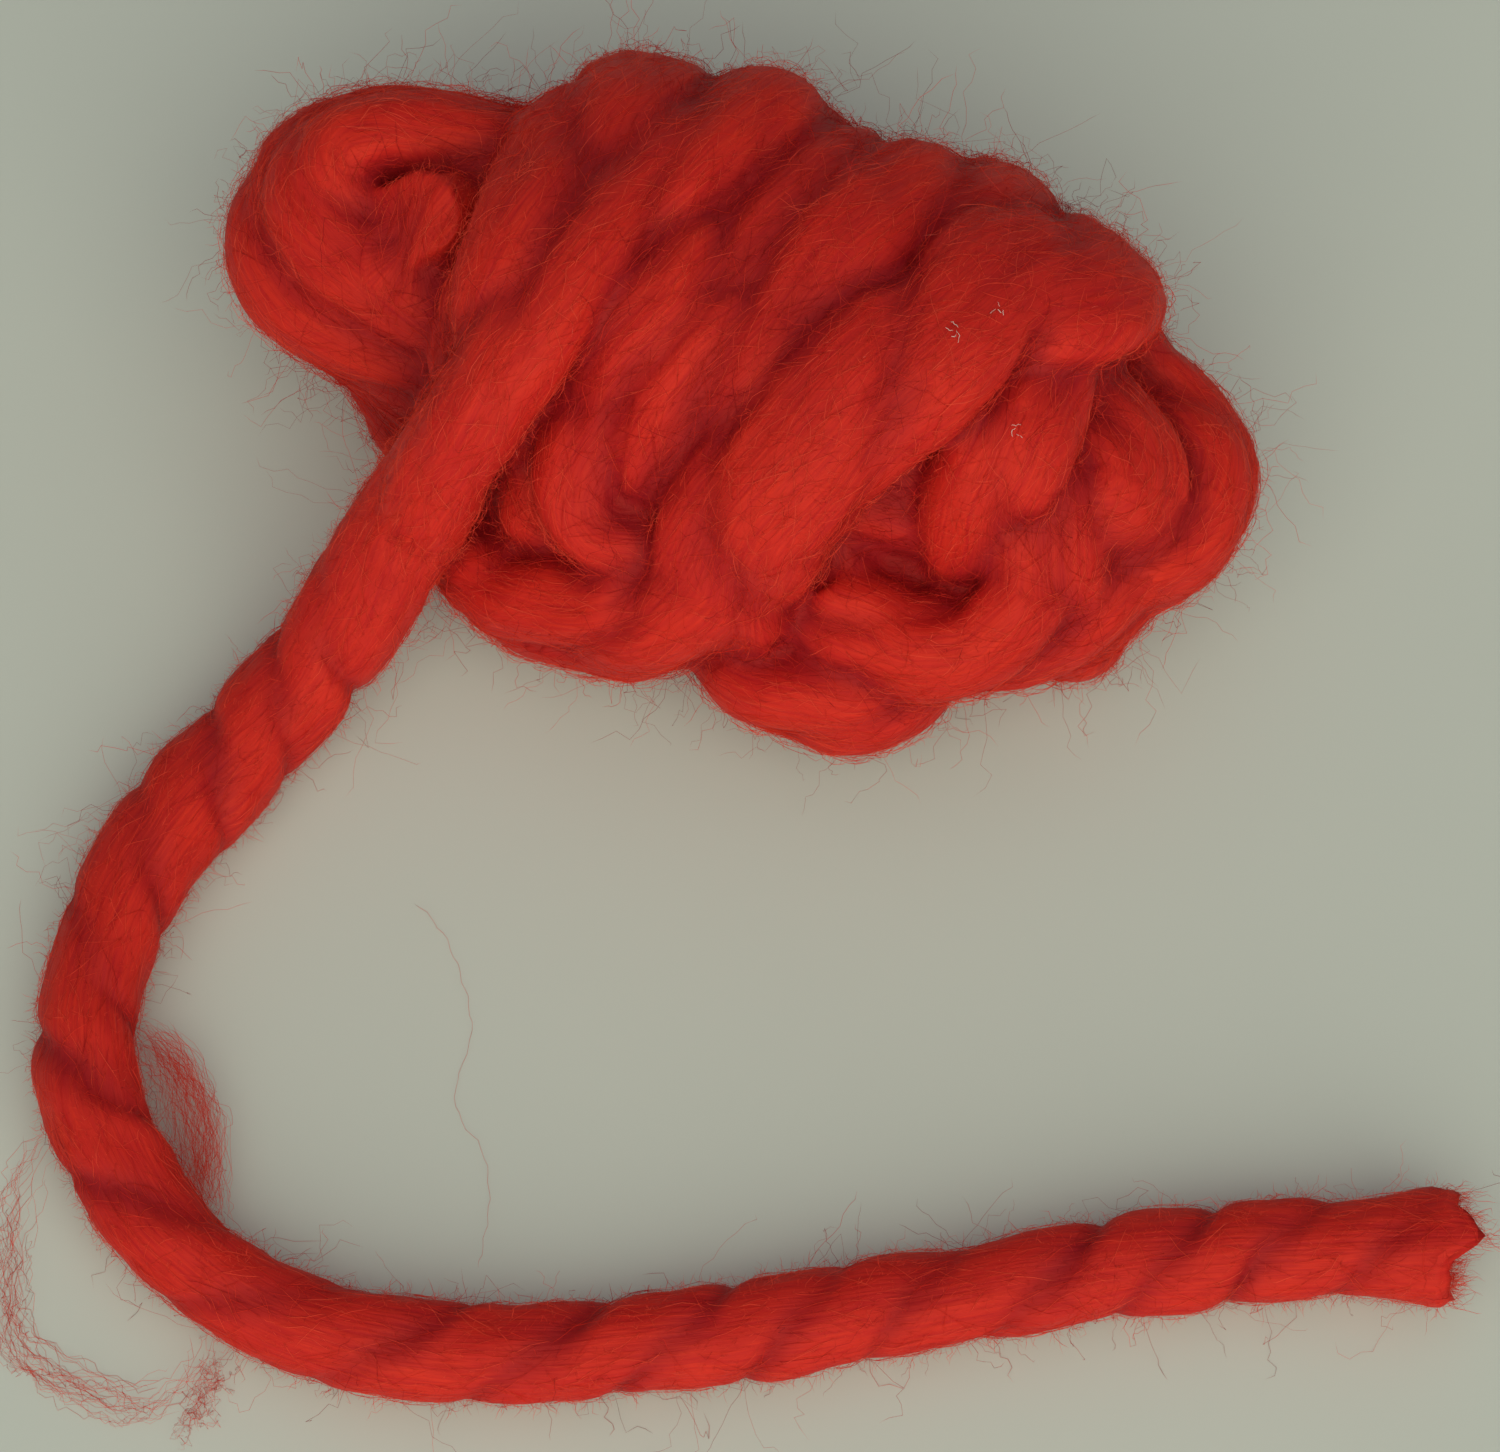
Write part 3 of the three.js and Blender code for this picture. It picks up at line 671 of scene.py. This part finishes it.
def fibre_part(lines, kind, rng, painted_shade=0.0):
    """Places, faces and map of three-sided tubes along lines of points, pointed at both ends.
    The map holds a fibre's shade and the share along it. painted_shade is how much each fibre's shade is
    darkened as painted shade."""
    count, points = lines.shape[:2]
    thick = rng.uniform(*kind["thick"], count)
    lines[..., 2] = np.maximum(lines[..., 2], FLOOR_CLEAR + thick[:, None] / 2)
    shades = np.maximum(rng.uniform(*kind["shade"], count) - painted_shade, 0)
    ahead = unit(np.gradient(lines, axis=1))
    across = unit(np.cross(ahead, unit(rng.normal(size=(count, 1, 3)))))
    up = np.cross(ahead, across)
    turns = np.arange(3) * 2 * math.pi / 3
    radius = thick[:, None, None, None] / 2
    spokes = np.cos(turns)[:, None] * across[:, 1:-1, None] + np.sin(turns)[:, None] * up[:, 1:-1, None]
    rings = (lines[:, 1:-1, None] + radius * spokes).reshape(count, -1, 3)
    places = np.concatenate([lines[:, :1], rings, lines[:, -1:]], axis=1)
    size = places.shape[1]
    near, far = np.arange(3), (np.arange(3) + 1) % 3
    base = 1 + 3 * np.arange(points - 3)[:, None]
    quads = np.stack([base + near, base + far, base + 3 + far, base + 3 + near], axis=-1).reshape(-1, 4)
    last = size - 4
    tips = np.concatenate([
        np.stack([0 * near, 1 + far, 1 + near], axis=-1),
        np.stack([0 * near + size - 1, last + near, last + far], axis=-1),
    ])
    starts = (np.arange(count) * size)[:, None, None]
    faces = (quads + starts).reshape(-1, 4).tolist() + (tips + starts).reshape(-1, 3).tolist()
    share = np.concatenate([[0], np.repeat(np.linspace(0, 1, points)[1:-1], 3), [1]])
    side = np.stack([near, near + 1, near + 1, near], axis=-1)
    quad_map = np.stack([np.tile(side, (points - 3, 1)) * SIDE_TAKES, share[quads]], axis=-1)
    tip_side = np.tile(np.stack([near + 0.5, near + 1, near], axis=-1), (2, 1))
    tip_side[3:, 1:] = tip_side[3:, :0:-1]
    tip_map = np.stack([tip_side * SIDE_TAKES, share[tips]], axis=-1)
    shades = np.stack([SHADES_TAKE * shades, 0 * shades], axis=-1)[:, None, None]
    fibre_map = np.concatenate([(quad_map + shades).reshape(-1, 2), (tip_map + shades).reshape(-1, 2)])
    return places.reshape(-1, 3), faces, fibre_map


def fibre_piece(name, parts):
    """One object from parts of fibres."""
    piece = piece_from(name, [part[:2] for part in parts])
    fibre_map = np.concatenate([part[2] for part in parts])
    piece.data.uv_layers.new(name="OFBake").uv.foreach_set("vector", fibre_map.astype(np.float32).ravel())
    piece.data.shade_smooth()
    piece.data.materials.append(fibre_wool)
    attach(piece, "root")
    return piece


def fibre_material():
    """Single wool fibres, each with its own shade from the map."""
    material, tree, shader = new_material("wool_fibres", FIBRE_SURFACE)
    fibre_map = add_node(tree, "ShaderNodeUVMap", uv_map="OFBake")
    parts = add_node(tree, "ShaderNodeSeparateXYZ", Vector=fibre_map.outputs["UV"])
    ramp = add_node(tree, "ShaderNodeValToRGB", Fac=parts.outputs["X"])
    ramp.color_ramp.elements[0].color = FIBRE_DEEP
    ramp.color_ramp.elements[1].position = BRIGHT_AT
    ramp.color_ramp.elements[1].color = FIBRE_BRIGHT
    middle = ramp.color_ramp.elements.new(MIDDLE_AT)
    middle.color = FIBRE_MIDDLE
    lint = ramp.color_ramp.elements.new(LINT_AT)
    lint.color = LINT_WHITE
    set_socket(tree, shader.inputs["Base Color"], ramp.outputs["Color"])
    return material


def roots_on(mesh, strands, count, lowest, rng):
    """Places spread evenly over a skin, with the way out of it, the way along its strand
    and the painted shade that darkens a fibre there, most in the creases."""
    areas = numbers_of(mesh.polygons, "area")
    middles = vectors_of(mesh.polygons, "center")
    normals = vectors_of(mesh.polygons, "normal")
    weights = areas * (middles[:, 2] > lowest)
    chosen = rng.choice(len(areas), count, p=weights / weights.sum())
    rows = nearest_rows(strands, middles[chosen])[0]
    ahead = np.cross(rows[:, Strand.OUT], rows[:, Strand.SIDE])
    hollows = numbers_of(mesh.attributes["Hollow"].data, "value")
    corners = np.array([mesh.polygons[face].vertices[0] for face in chosen.tolist()])
    # Painted shade: fibres rooted in creases are darkened, as shade falls there
    painted_shade = FIBRE_PAINTED_SHADE * smoothstep(hollows[corners].astype(float), CREST, CREASE)
    return middles[chosen], normals[chosen], ahead, painted_shade


def turned_about(vectors, axis, angle):
    """Vectors turned about unit axes."""
    c, s = np.cos(angle)[:, None], np.sin(angle)[:, None]
    return vectors * c + np.cross(axis, vectors) * s + axis * (axis * vectors).sum(1, keepdims=True) * (1 - c)


def skin_tree(mesh):
    """Finds places on a skin."""
    faces = [face.vertices[:] for face in mesh.polygons]
    return BVHTree.FromPolygons(vectors_of(mesh.vertices, "co").tolist(), faces)


def laid_fibres(mesh, strands, kind, lowest, rng):
    """Fibres combed along the strands, which follow the skin a little above it."""
    count, points = kind["count"], kind["points"]
    tree = skin_tree(mesh)
    places, normals, ahead, painted_shade = roots_on(mesh, strands, count, lowest, rng)
    ahead = turned_about(unit(ahead), normals, rng.normal(0, LAID_SPREAD, count))
    ahead = ahead * rng.choice([-1, 1], (count, 1))
    step = rng.uniform(*kind["length"], count)[:, None] / (points - 1)
    lift = rng.uniform(*kind["lift"], count)
    arch = np.sin(np.linspace(*LAID_ARCH, points))
    lines = [places]
    for point in range(1, points):
        ahead = unit(ahead - (ahead * normals).sum(1, keepdims=True) * normals)
        hits = [tree.find_nearest(place) for place in (places + ahead * step).tolist()]
        places = np.array([hit[0] for hit in hits])
        normals = np.array([hit[1] for hit in hits])
        lines.append(places + normals * (lift * arch[point])[:, None])
        ahead = turned_about(ahead, normals, rng.normal(0, LAID_WANDER, count))
    return fibre_part(np.stack(lines, axis=1), kind, rng, painted_shade)


def curly_fibres(places, direction, kind, rng, painted_shade=0.0):
    """Fibres that leave their roots and curl, each its own way."""
    count, points = kind["count"], kind["points"]
    axis = unit(rng.normal(size=(count, 3)))
    curl = rng.normal(0, kind["curl"], count) / points
    crimp_start = rng.uniform(0, 2 * math.pi, count)
    shortest, longest = kind["length"]
    length = shortest + (longest - shortest) * rng.random(count) ** 2
    step = (length / (points - 1))[:, None]
    lines = [places]
    for point in range(points - 1):
        swing = CRIMP * np.sin(crimp_start + CRIMP_BEAT * point)
        places = places + turned_about(direction, axis, swing) * step
        places[:, 2] = np.maximum(places[:, 2], 2 * FLOOR_CLEAR)
        lines.append(places)
        direction = unit(turned_about(direction, axis, curl))
        axis = unit(axis + rng.normal(0, CURL_DRIFT, (count, 3)))
    return fibre_part(np.stack(lines, axis=1), kind, rng, painted_shade)


def fuzz(mesh, strands, kind, lowest, rng):
    """Curly fibres that stand off a skin all over."""
    count = kind["count"]
    places, normals, ahead, painted_shade = roots_on(mesh, strands, count, lowest, rng)
    direction = normals * rng.uniform(*FUZZ_STANDS, (count, 1))
    direction = direction + ahead * rng.normal(0, FUZZ_COMBED, (count, 1))
    direction = unit(direction + rng.normal(0, FUZZ_SPREAD, (count, 3)))
    return curly_fibres(places, direction, kind, rng, painted_shade)


def stray_fibres(row, rng):
    """A loose bundle, whose fibres follow part of the way between two lines, in slow bends and fine waves."""
    count, points = row["count"], row["points"]
    inner, outer = (evenly(smooth_line(np.array(anchors)), LINE_POINTS) for anchors in row["lines"])
    spare = 1 - row["whole"]
    begin = spare / 2 * rng.random((count, 1))
    end = 1 - spare / 2 * rng.random((count, 1))
    at = np.linspace(0, 1, points)
    step = np.round((begin + (end - begin) * at) * (LINE_POINTS - 1)).astype(int)
    lines = inner[step] + (outer - inner)[step] * rng.beta(*STRAY_CROWD, (count, 1, 1))
    lines = lines + row["apart"] * rng.normal(0, STRAY_SPREAD, (count, 1, 3))
    bends = (*STRAY_BENDS, STRAY_BEND_REACH * row["apart"])
    crimps = (STRAY_CRIMPS[0] * points, STRAY_CRIMPS[1] * points, row["crimp"])
    for least, most, reach in (bends, crimps):
        beats = rng.uniform(least, most, (count, 1, 3)) * at[:, None]
        lines = lines + reach * np.sin(beats + rng.uniform(0, 2 * math.pi, (count, 1, 3)))
    return fibre_part(lines, STRAY, rng)


fibre_wool = fibre_material()

rng = np.random.default_rng(11)
parts = [fuzz(loose_end.data, [yarn], kind, LOOSE_LOWEST, rng) for kind in (NAP, SHORT_FUZZ, LONG_FUZZ)]
loose_fuzz = fibre_piece("loose_fuzz", parts)
parts = [laid_fibres(loose_end.data, [yarn], LAID, LOOSE_LOWEST, rng)]

end_middle = end_row[Strand.MIDDLE]
fray_angle = rng.uniform(0, 2 * math.pi, FRAY["count"])
fray_reach = FRAY_REACH * np.sqrt(rng.random(FRAY["count"]))[:, None]
fray_rim = yarn.surface(np.full(FRAY["count"], yarn_end - FRAY_RIM), fray_angle)
fray_roots = end_middle + (fray_rim - end_middle) * fray_reach
fray_roots[:, 0] = end_middle[0] + past_end(fray_roots, end_middle) - FRAY_ROOT
fray_ahead = unit(np.array([1, 0, 0]) + rng.normal(0, FRAY_SPREAD, (FRAY["count"], 3)))
parts.append(curly_fibres(fray_roots, fray_ahead, FRAY, rng))

parts += [stray_fibres(row, rng) for row in STRAYS]
loose_fibres = fibre_piece("loose_fibres", parts)


# Wound ball
# Turns of the same yarn wound lengthwise, bound by wraps that lean across them.
# The yarn lies slack, so each turn is pressed a little flat and its two plies show side by side.
BALL_HALF = (0.035, 0.0165, 0.0185)  # half sizes of the lump that says which way is out
INNER_HALF = (0.027, 0.0090, 0.0132)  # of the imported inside
INNER_TURNS = 8
INNER_THICK = 0.0084
CORE_HALF = (0.032, 0.0098, 0.0138)  # of the filling between those turns
WOUND_PITCH = 0.044  # length in which the plies go round once
TURN_WIDE, TURN_HIGH = 1.16, 0.92  # of a turn's section, as shares of its thickness
STRETCH_WIDE, STRETCH_HIGH = 1.08, 0.95
FAR_FLATTER = 0.22  # how much flatter the wraps are on the far side
FAR_FROM = (0.1, 0.8)  # sines of the angle from the crown between which they get flatter
WANDER = 0.0011  # how far a turn strays from its oval
WANDER_WAVES = (3, 5, 8)
STRETCH_CAPS = (0, 0)  # depths of a stretch's end faces
LAST_CAPS = (0.001, 0.001)  # of the last wrap's
SEAM_SINKS = 0.2  # how much thinner the last wrap's skin ends in the loose end, as a share
BALL_RING = 0.0007  # length between two rings of a turn's skin
BALL_SIDES = 28
LOOP_POINTS = 400
SKIN_GRID = 0.00046
PASS_SHARE = 0.5  # share of the way that a pass of smoothing moves each point
SOFTENING = 11  # passes that round the creases
BALL_SMOOTHING = 260  # passes that level the skin, to tell how deep its hollows are for the painted shade


def rows_of(columns, rows):
    """The rows of a table, each value under the name of its column."""
    return [dict(zip(columns.split(), row)) for row in rows]


# at: along, across and above the ball. square: 2 is an ellipse. turn: degrees about the vertical.
# rise: climb along and across. groove: degrees round the loop at which a groove faces out.
LENGTHWISE = rows_of("at half square turn rise thick groove", [
    ((0, 0, 0.0036), (0.023, 0.007), 2.4, 0, (0, 0), 0.0088, 0),
    ((0.0008, 0.001, 0.0105), (0.0312, 0.0098), 2.4, 1, (0.07, 0.06), 0.0094, 180),
    ((-0.0018, 0.0046, 0.0175), (0.0390, 0.0112), 2.7, -1, (-0.07, 0), 0.0094, 180),
    ((-0.0030, 0.0037, 0.024), (0.0348, 0.008), 2.4, -3, (-0.06, 0.1), 0.0088, 0),
    ((-0.0064, -0.0100, 0.0120), (0.0114, 0.0087), 2.4, 0, (0.28, 0), 0.0092, 230),
    ((0.0112, -0.0100, 0.0104), (0.0076, 0.0092), 2.4, 0, (0.15, 0), 0.0092, 260),
    ((0.0218, -0.0027, 0.015), (0.0105, 0.008), 2.4, 0, (0, 0.2), 0.0088, 330),
    ((0.0172, -0.0072, 0.021), (0.0098, 0.0072), 2.4, 0, (0, 0.6), 0.0088, 190),
    ((-0.0075, -0.0080, 0.0168), (0.0075, 0.006), 2.4, 0, (-0.05, 0.35), 0.0084, 240),
    ((0.0150, -0.0040, 0.0198), (0.0062, 0.0050), 2.2, 0, (0, 0.9), 0.0080, 240),
])
# As the last wrap's row, and groove: degrees from the crown at which a groove faces out.
# split: depth of the grooves between the plies, as a share of the radius.
WRAPS = rows_of("station lean far near crown foot thick groove split", [
    (-0.0182, (0.16, 0.14), 0.0210, 0.007, 0.0335, 0.007, 0.0102, -30, 0.18),
    (-0.0062, (0.54, 0.6), 0.0192, 0.0060, 0.0356, 0.0055, 0.0086, -15, 0.26),
    (0.0012, (0.55, 0.7), 0.0213, 0.0086, 0.0352, 0.0045, 0.0100, 20, 0.24),
    (0.0125, (0.66, 0.6), 0.0167, 0.0144, 0.036, 0.0045, 0.0112, 5, 0.14),
    (0.0222, (0.05, 0.25), 0.015, 0.0050, 0.0305, 0.006, 0.0086, 40, 0.16),
])
# Slack stretches that leave their turns: the belly below the thickest wrap, a small hook beside the last one,
# a knuckle that stands up in the left lobe, that lobe's near edge, and two on the right lobe's near side
BELLY = [
    (0.0070, -0.0080, 0.0325), (0.0020, -0.0125, 0.0278), (-0.0025, -0.0155, 0.0228),
    (-0.0075, -0.0172, 0.0182), (-0.0128, -0.0160, 0.0148), (-0.0177, -0.0130, 0.0118),
    (-0.0215, -0.0090, 0.0090),
]
HOOK = [
    (-0.0020, 0.0015, 0.0338), (-0.0070, -0.0007, 0.0317), (-0.0104, -0.0040, 0.0292),
    (-0.0130, -0.0070, 0.0265), (-0.0136, -0.0099, 0.0240), (-0.0120, -0.0121, 0.0225),
    (-0.0087, -0.0128, 0.0220), (-0.0043, -0.0110, 0.0212),
]
KNUCKLE = [
    (-0.0190, 0.0140, 0.0190), (-0.0226, 0.0128, 0.0250), (-0.0252, 0.0118, 0.0290),
    (-0.0264, 0.0113, 0.0306),
]
LOBE = [
    (-0.0362, 0.0138, 0.0165), (-0.0348, 0.0112, 0.0160), (-0.0325, 0.0088, 0.0150),
    (-0.0292, 0.0058, 0.0140), (-0.0254, 0.0025, 0.0130), (-0.0211, 0.0005, 0.0120),
]
FOOT = [
    (0.0230, -0.0069, 0.0220), (0.0247, -0.0106, 0.0185), (0.0260, -0.0136, 0.0140),
    (0.0262, -0.0153, 0.0095), (0.0242, -0.0142, 0.0066), (0.0206, -0.0108, 0.0056),
]
UNDER = [
    (0.0108, -0.0134, 0.0125), (0.0152, -0.0138, 0.0135), (0.0192, -0.0125, 0.0145),
    (0.0229, -0.0097, 0.0150),
]
# The knuckle is a bend seen end on, so its fibres go over its end along a line of their own
KNUCKLE_BEND = [
    (-0.0190, 0.0165, 0.0190), (-0.0233, 0.0146, 0.0255), (-0.0254, 0.0126, 0.0294),
    (-0.0263, 0.0102, 0.0292), (-0.0258, 0.0084, 0.0250), (-0.0240, 0.0075, 0.0190),
]
# groove: length along at which a groove faces out
STRETCHES = [
    {"line": BELLY, "thick": 0.0094, "groove": 0.006, "split": 0.2},
    {"line": HOOK, "thick": 0.0062, "groove": 0.016, "split": 0.16},
    {"line": KNUCKLE, "fibres": KNUCKLE_BEND, "thick": 0.0086, "groove": -0.004, "split": 0.1},
    {"line": LOBE, "thick": 0.0088, "groove": 0.012, "split": 0.15},
    {"line": FOOT, "thick": 0.0092, "groove": 0.004, "split": 0.15},
    {"line": UNDER, "thick": 0.0080, "groove": 0.0, "split": 0.1},
]


def lengthwise_line(row, angle):
    """A turn wound along the ball, or a slack loop of one."""
    c, s = oval(angle, row["square"])
    turn = math.radians(row["turn"])
    along = row["half"][0] * c
    across = row["half"][1] * s
    return on_ball(
        row["at"][0] + along * math.cos(turn) - across * math.sin(turn),
        row["at"][1] + along * math.sin(turn) + across * math.cos(turn),
        row["at"][2] + along * row["rise"][0] + across * row["rise"][1],
    )


def inner_line(lean, angle):
    """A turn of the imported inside, in a plane through the long axis."""
    return on_ball(
        BALL_MIDDLE[0] + INNER_HALF[0] * np.cos(angle),
        BALL_MIDDLE[1] + INNER_HALF[1] * np.sin(angle) * math.cos(lean),
        BALL_MIDDLE[2] + INNER_HALF[2] * np.sin(angle) * math.sin(lean),
    )


def ball_outward(places):
    """Which way is out of the ball, taken as an oval lump."""
    c, s = math.cos(-BALL_YAW), math.sin(-BALL_YAW)
    x = places[:, 0] * c - places[:, 1] * s - BALL_MIDDLE[0]
    y = places[:, 0] * s + places[:, 1] * c - BALL_MIDDLE[1]
    z = places[:, 2] - BALL_MIDDLE[2]
    along, across, up = (value / half**2 for value, half in zip((x, y, z), BALL_HALF))
    return unit(on_ball(along, across, up))


def wound_turn(line, thick, groove, split, rng, flatter=0.0):
    """A closed turn of slack yarn."""
    along = lengths_along(line)
    start = np.interp(math.radians(groove) % (2 * math.pi), circle, along / along[-1])
    line = evenly(line, LOOP_POINTS)
    for waves in WANDER_WAVES:
        line = line + WANDER / waves * np.sin(waves * circle[:, None] + rng.uniform(0, 2 * math.pi, 3))
    turns = max(1, round(along[-1] / WOUND_PITCH))
    turned = -GROOVE - 2 * math.pi * turns * (np.linspace(0, 1, LOOP_POINTS) - start)
    wide = TURN_WIDE + flatter
    high = TURN_HIGH - flatter / 2
    return Strand(line, ball_outward(line), turned, thick, wide, high, split, WOUND_SWELL, True, rng)


def slack_stretch(row, rng):
    """A stretch of slack yarn with two ends."""
    line = evenly(smooth_line(np.array(row["line"])), LOOP_POINTS)
    along = lengths_along(line)
    turned = -GROOVE - 2 * math.pi * (along - row["groove"]) / WOUND_PITCH
    outward = ball_outward(line)
    wide, high = STRETCH_WIDE, STRETCH_HIGH
    return Strand(line, outward, turned, row["thick"], wide, high, row["split"], WOUND_SWELL, False, rng)


def depths_in(piece, iterations):
    """How deep each point lies in a crease, in millimetres, against the same skin smoothed over."""
    smoothing = piece.modifiers.new("smoothed_over", "SMOOTH")
    smoothing.factor = PASS_SHARE
    smoothing.iterations = iterations
    smoothed = piece.evaluated_get(bpy.context.evaluated_depsgraph_get()).to_mesh()
    moved = vectors_of(smoothed.vertices, "co") - vectors_of(piece.data.vertices, "co")
    piece.modifiers.remove(smoothing)
    depths = (moved * vectors_of(piece.data.vertex_normals, "vector")).sum(1) * 1000
    return depths - np.median(depths)


def keep_outer_shell(mesh):
    """Takes away the walls of hollows that are sealed inside."""
    shape = bmesh.new()
    shape.from_mesh(mesh)
    top = max(shape.verts, key=lambda vert: vert.co.z)
    kept, waiting = {top}, [top]
    while waiting:
        for edge in waiting.pop().link_edges:
            for vert in edge.verts:
                if vert not in kept:
                    kept.add(vert)
                    waiting.append(vert)
    bmesh.ops.delete(shape, geom=[vert for vert in shape.verts if vert not in kept], context="VERTS")
    shape.to_mesh(mesh)
    shape.free()


rng = np.random.default_rng(7)
circle = np.linspace(0, 2 * math.pi, LOOP_POINTS)
turns = []
for row in LENGTHWISE:
    turns.append(wound_turn(lengthwise_line(row, circle), row["thick"], row["groove"], TURN_GROOVE, rng))
flatter = FAR_FLATTER * smoothstep(-np.sin(circle), *FAR_FROM)
for row in WRAPS:
    line = wrap_line(row, circle)
    turns.append(wound_turn(line, row["thick"], row["groove"], row["split"], rng, flatter))
for lean in np.linspace(0, math.pi, INNER_TURNS, endpoint=False):
    turns.append(wound_turn(inner_line(lean, circle), INNER_THICK, 0, TURN_GROOVE, rng))

stretches = [slack_stretch(row, rng) for row in STRETCHES]
parts = [tube(turn, 0, turn.length, int(turn.length / BALL_RING), BALL_SIDES) for turn in turns]
for stretch in stretches:
    rings = int(stretch.length / BALL_RING)
    parts.append(tube(stretch, 0, stretch.length, rings, BALL_SIDES, STRETCH_CAPS))
last_rings = int((exit_along + 2 * SEAM) / BALL_RING)
last_along = np.linspace(0, exit_along + 2 * SEAM, last_rings)
last_slim = SEAM_SINKS * smoothstep(last_along, exit_along - SEAM, exit_along + 2 * SEAM)
parts.append(tube(yarn, 0, last_along[-1], last_rings, YARN_SIDES, LAST_CAPS, last_slim))
wound = piece_from("wound_turns", parts)
bpy.ops.mesh.primitive_uv_sphere_add(radius=1)
core = bpy.context.object
core.data.transform(Matrix.Diagonal((*CORE_HALF, 1)))
core.data.transform(Matrix.Translation(BALL_MIDDLE))
core.data.transform(Matrix.Rotation(BALL_YAW, 4, "Z"))
with bpy.context.temp_override(active_object=wound, selected_editable_objects=[wound, core]):
    bpy.ops.object.join()
one_skin = wound.modifiers.new("one_skin", "REMESH")
one_skin.mode = "VOXEL"
one_skin.voxel_size = SKIN_GRID
soft_creases = wound.modifiers.new("soft_creases", "SMOOTH")
soft_creases.factor = PASS_SHARE
soft_creases.iterations = SOFTENING
skin = bpy.data.meshes.new_from_object(wound.evaluated_get(bpy.context.evaluated_depsgraph_get()))
bpy.data.objects.remove(wound)
ball = bpy.data.objects.new("wound_ball", skin)
bpy.context.collection.objects.link(ball)
keep_outer_shell(skin)
combed = [
    slack_stretch({**row, "line": row["fibres"]}, rng) if "fibres" in row else stretch
    for row, stretch in zip(STRETCHES, stretches)
]
all_strands = [*turns, *combed, yarn]
raise_locks(skin, all_strands)
map_fibres(skin, all_strands)
# The depths of the creases set where the wool is painted with shade
note_hollows(skin, depths_in(ball, BALL_SMOOTHING))
skin.shade_smooth()
skin.materials.clear()
skin.materials.append(red_wool)
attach(ball, "root")
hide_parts("yarn_ball")


# Fibres of the ball
# The same wool fibres, combed along the turns and standing off them as fuzz.
# A few bits of white lint have caught in the fuzz.
BALL_LAID = {**LAID, "count": 6000, "lift": (0.00002, 0.0002)}
BALL_RAISED = {**LAID, "count": 8000, "lift": (0.0001, 0.0009)}
BALL_NAP = {**NAP, "count": 14000}
BALL_FUZZ = {**SHORT_FUZZ, "count": 4000}
BALL_WISPS = {**LONG_FUZZ, "count": 3200}
BALL_LOWEST = 0.002  # height above which fibres have their roots
LINT = {
    "count": 4, "points": 8, "length": (0.0006, 0.0016), "thick": (0.00003, 0.00006),
    "shade": (1.0, 1.0), "curl": 3.0,
}
LINT_SPREAD = 0.00015
LINT_HEIGHT = 0.0006  # above the skin
LINT_LEANS = (1, 1, 0.3)  # mostly level
LINT_SPOTS = [(0.0162, -0.0031), (0.0197, -0.0010), (0.0210, -0.0085)]  # as seen from above

rng = np.random.default_rng(23)
fibre_piece("combed_fibres", [laid_fibres(skin, all_strands, BALL_LAID, BALL_LOWEST, rng)])
fibre_piece("raised_fibres", [laid_fibres(skin, all_strands, BALL_RAISED, BALL_LOWEST, rng)])
fibre_piece("ball_fuzz", [fuzz(skin, all_strands, kind, BALL_LOWEST, rng) for kind in (BALL_NAP, BALL_FUZZ)])
ground = skin_tree(skin)
parts = [fuzz(skin, all_strands, BALL_WISPS, BALL_LOWEST, rng)]
for x, y in LINT_SPOTS:
    top = ground.ray_cast((x, y, 1), (0, 0, -1))[0]
    roots = np.array(top) + rng.normal(0, LINT_SPREAD, (LINT["count"], 3)) + np.array([0, 0, LINT_HEIGHT])
    direction = unit(rng.normal(0, 1, (LINT["count"], 3)) * np.array(LINT_LEANS))
    parts.append(curly_fibres(roots, direction, LINT, rng))
fibre_piece("ball_wisps", parts)
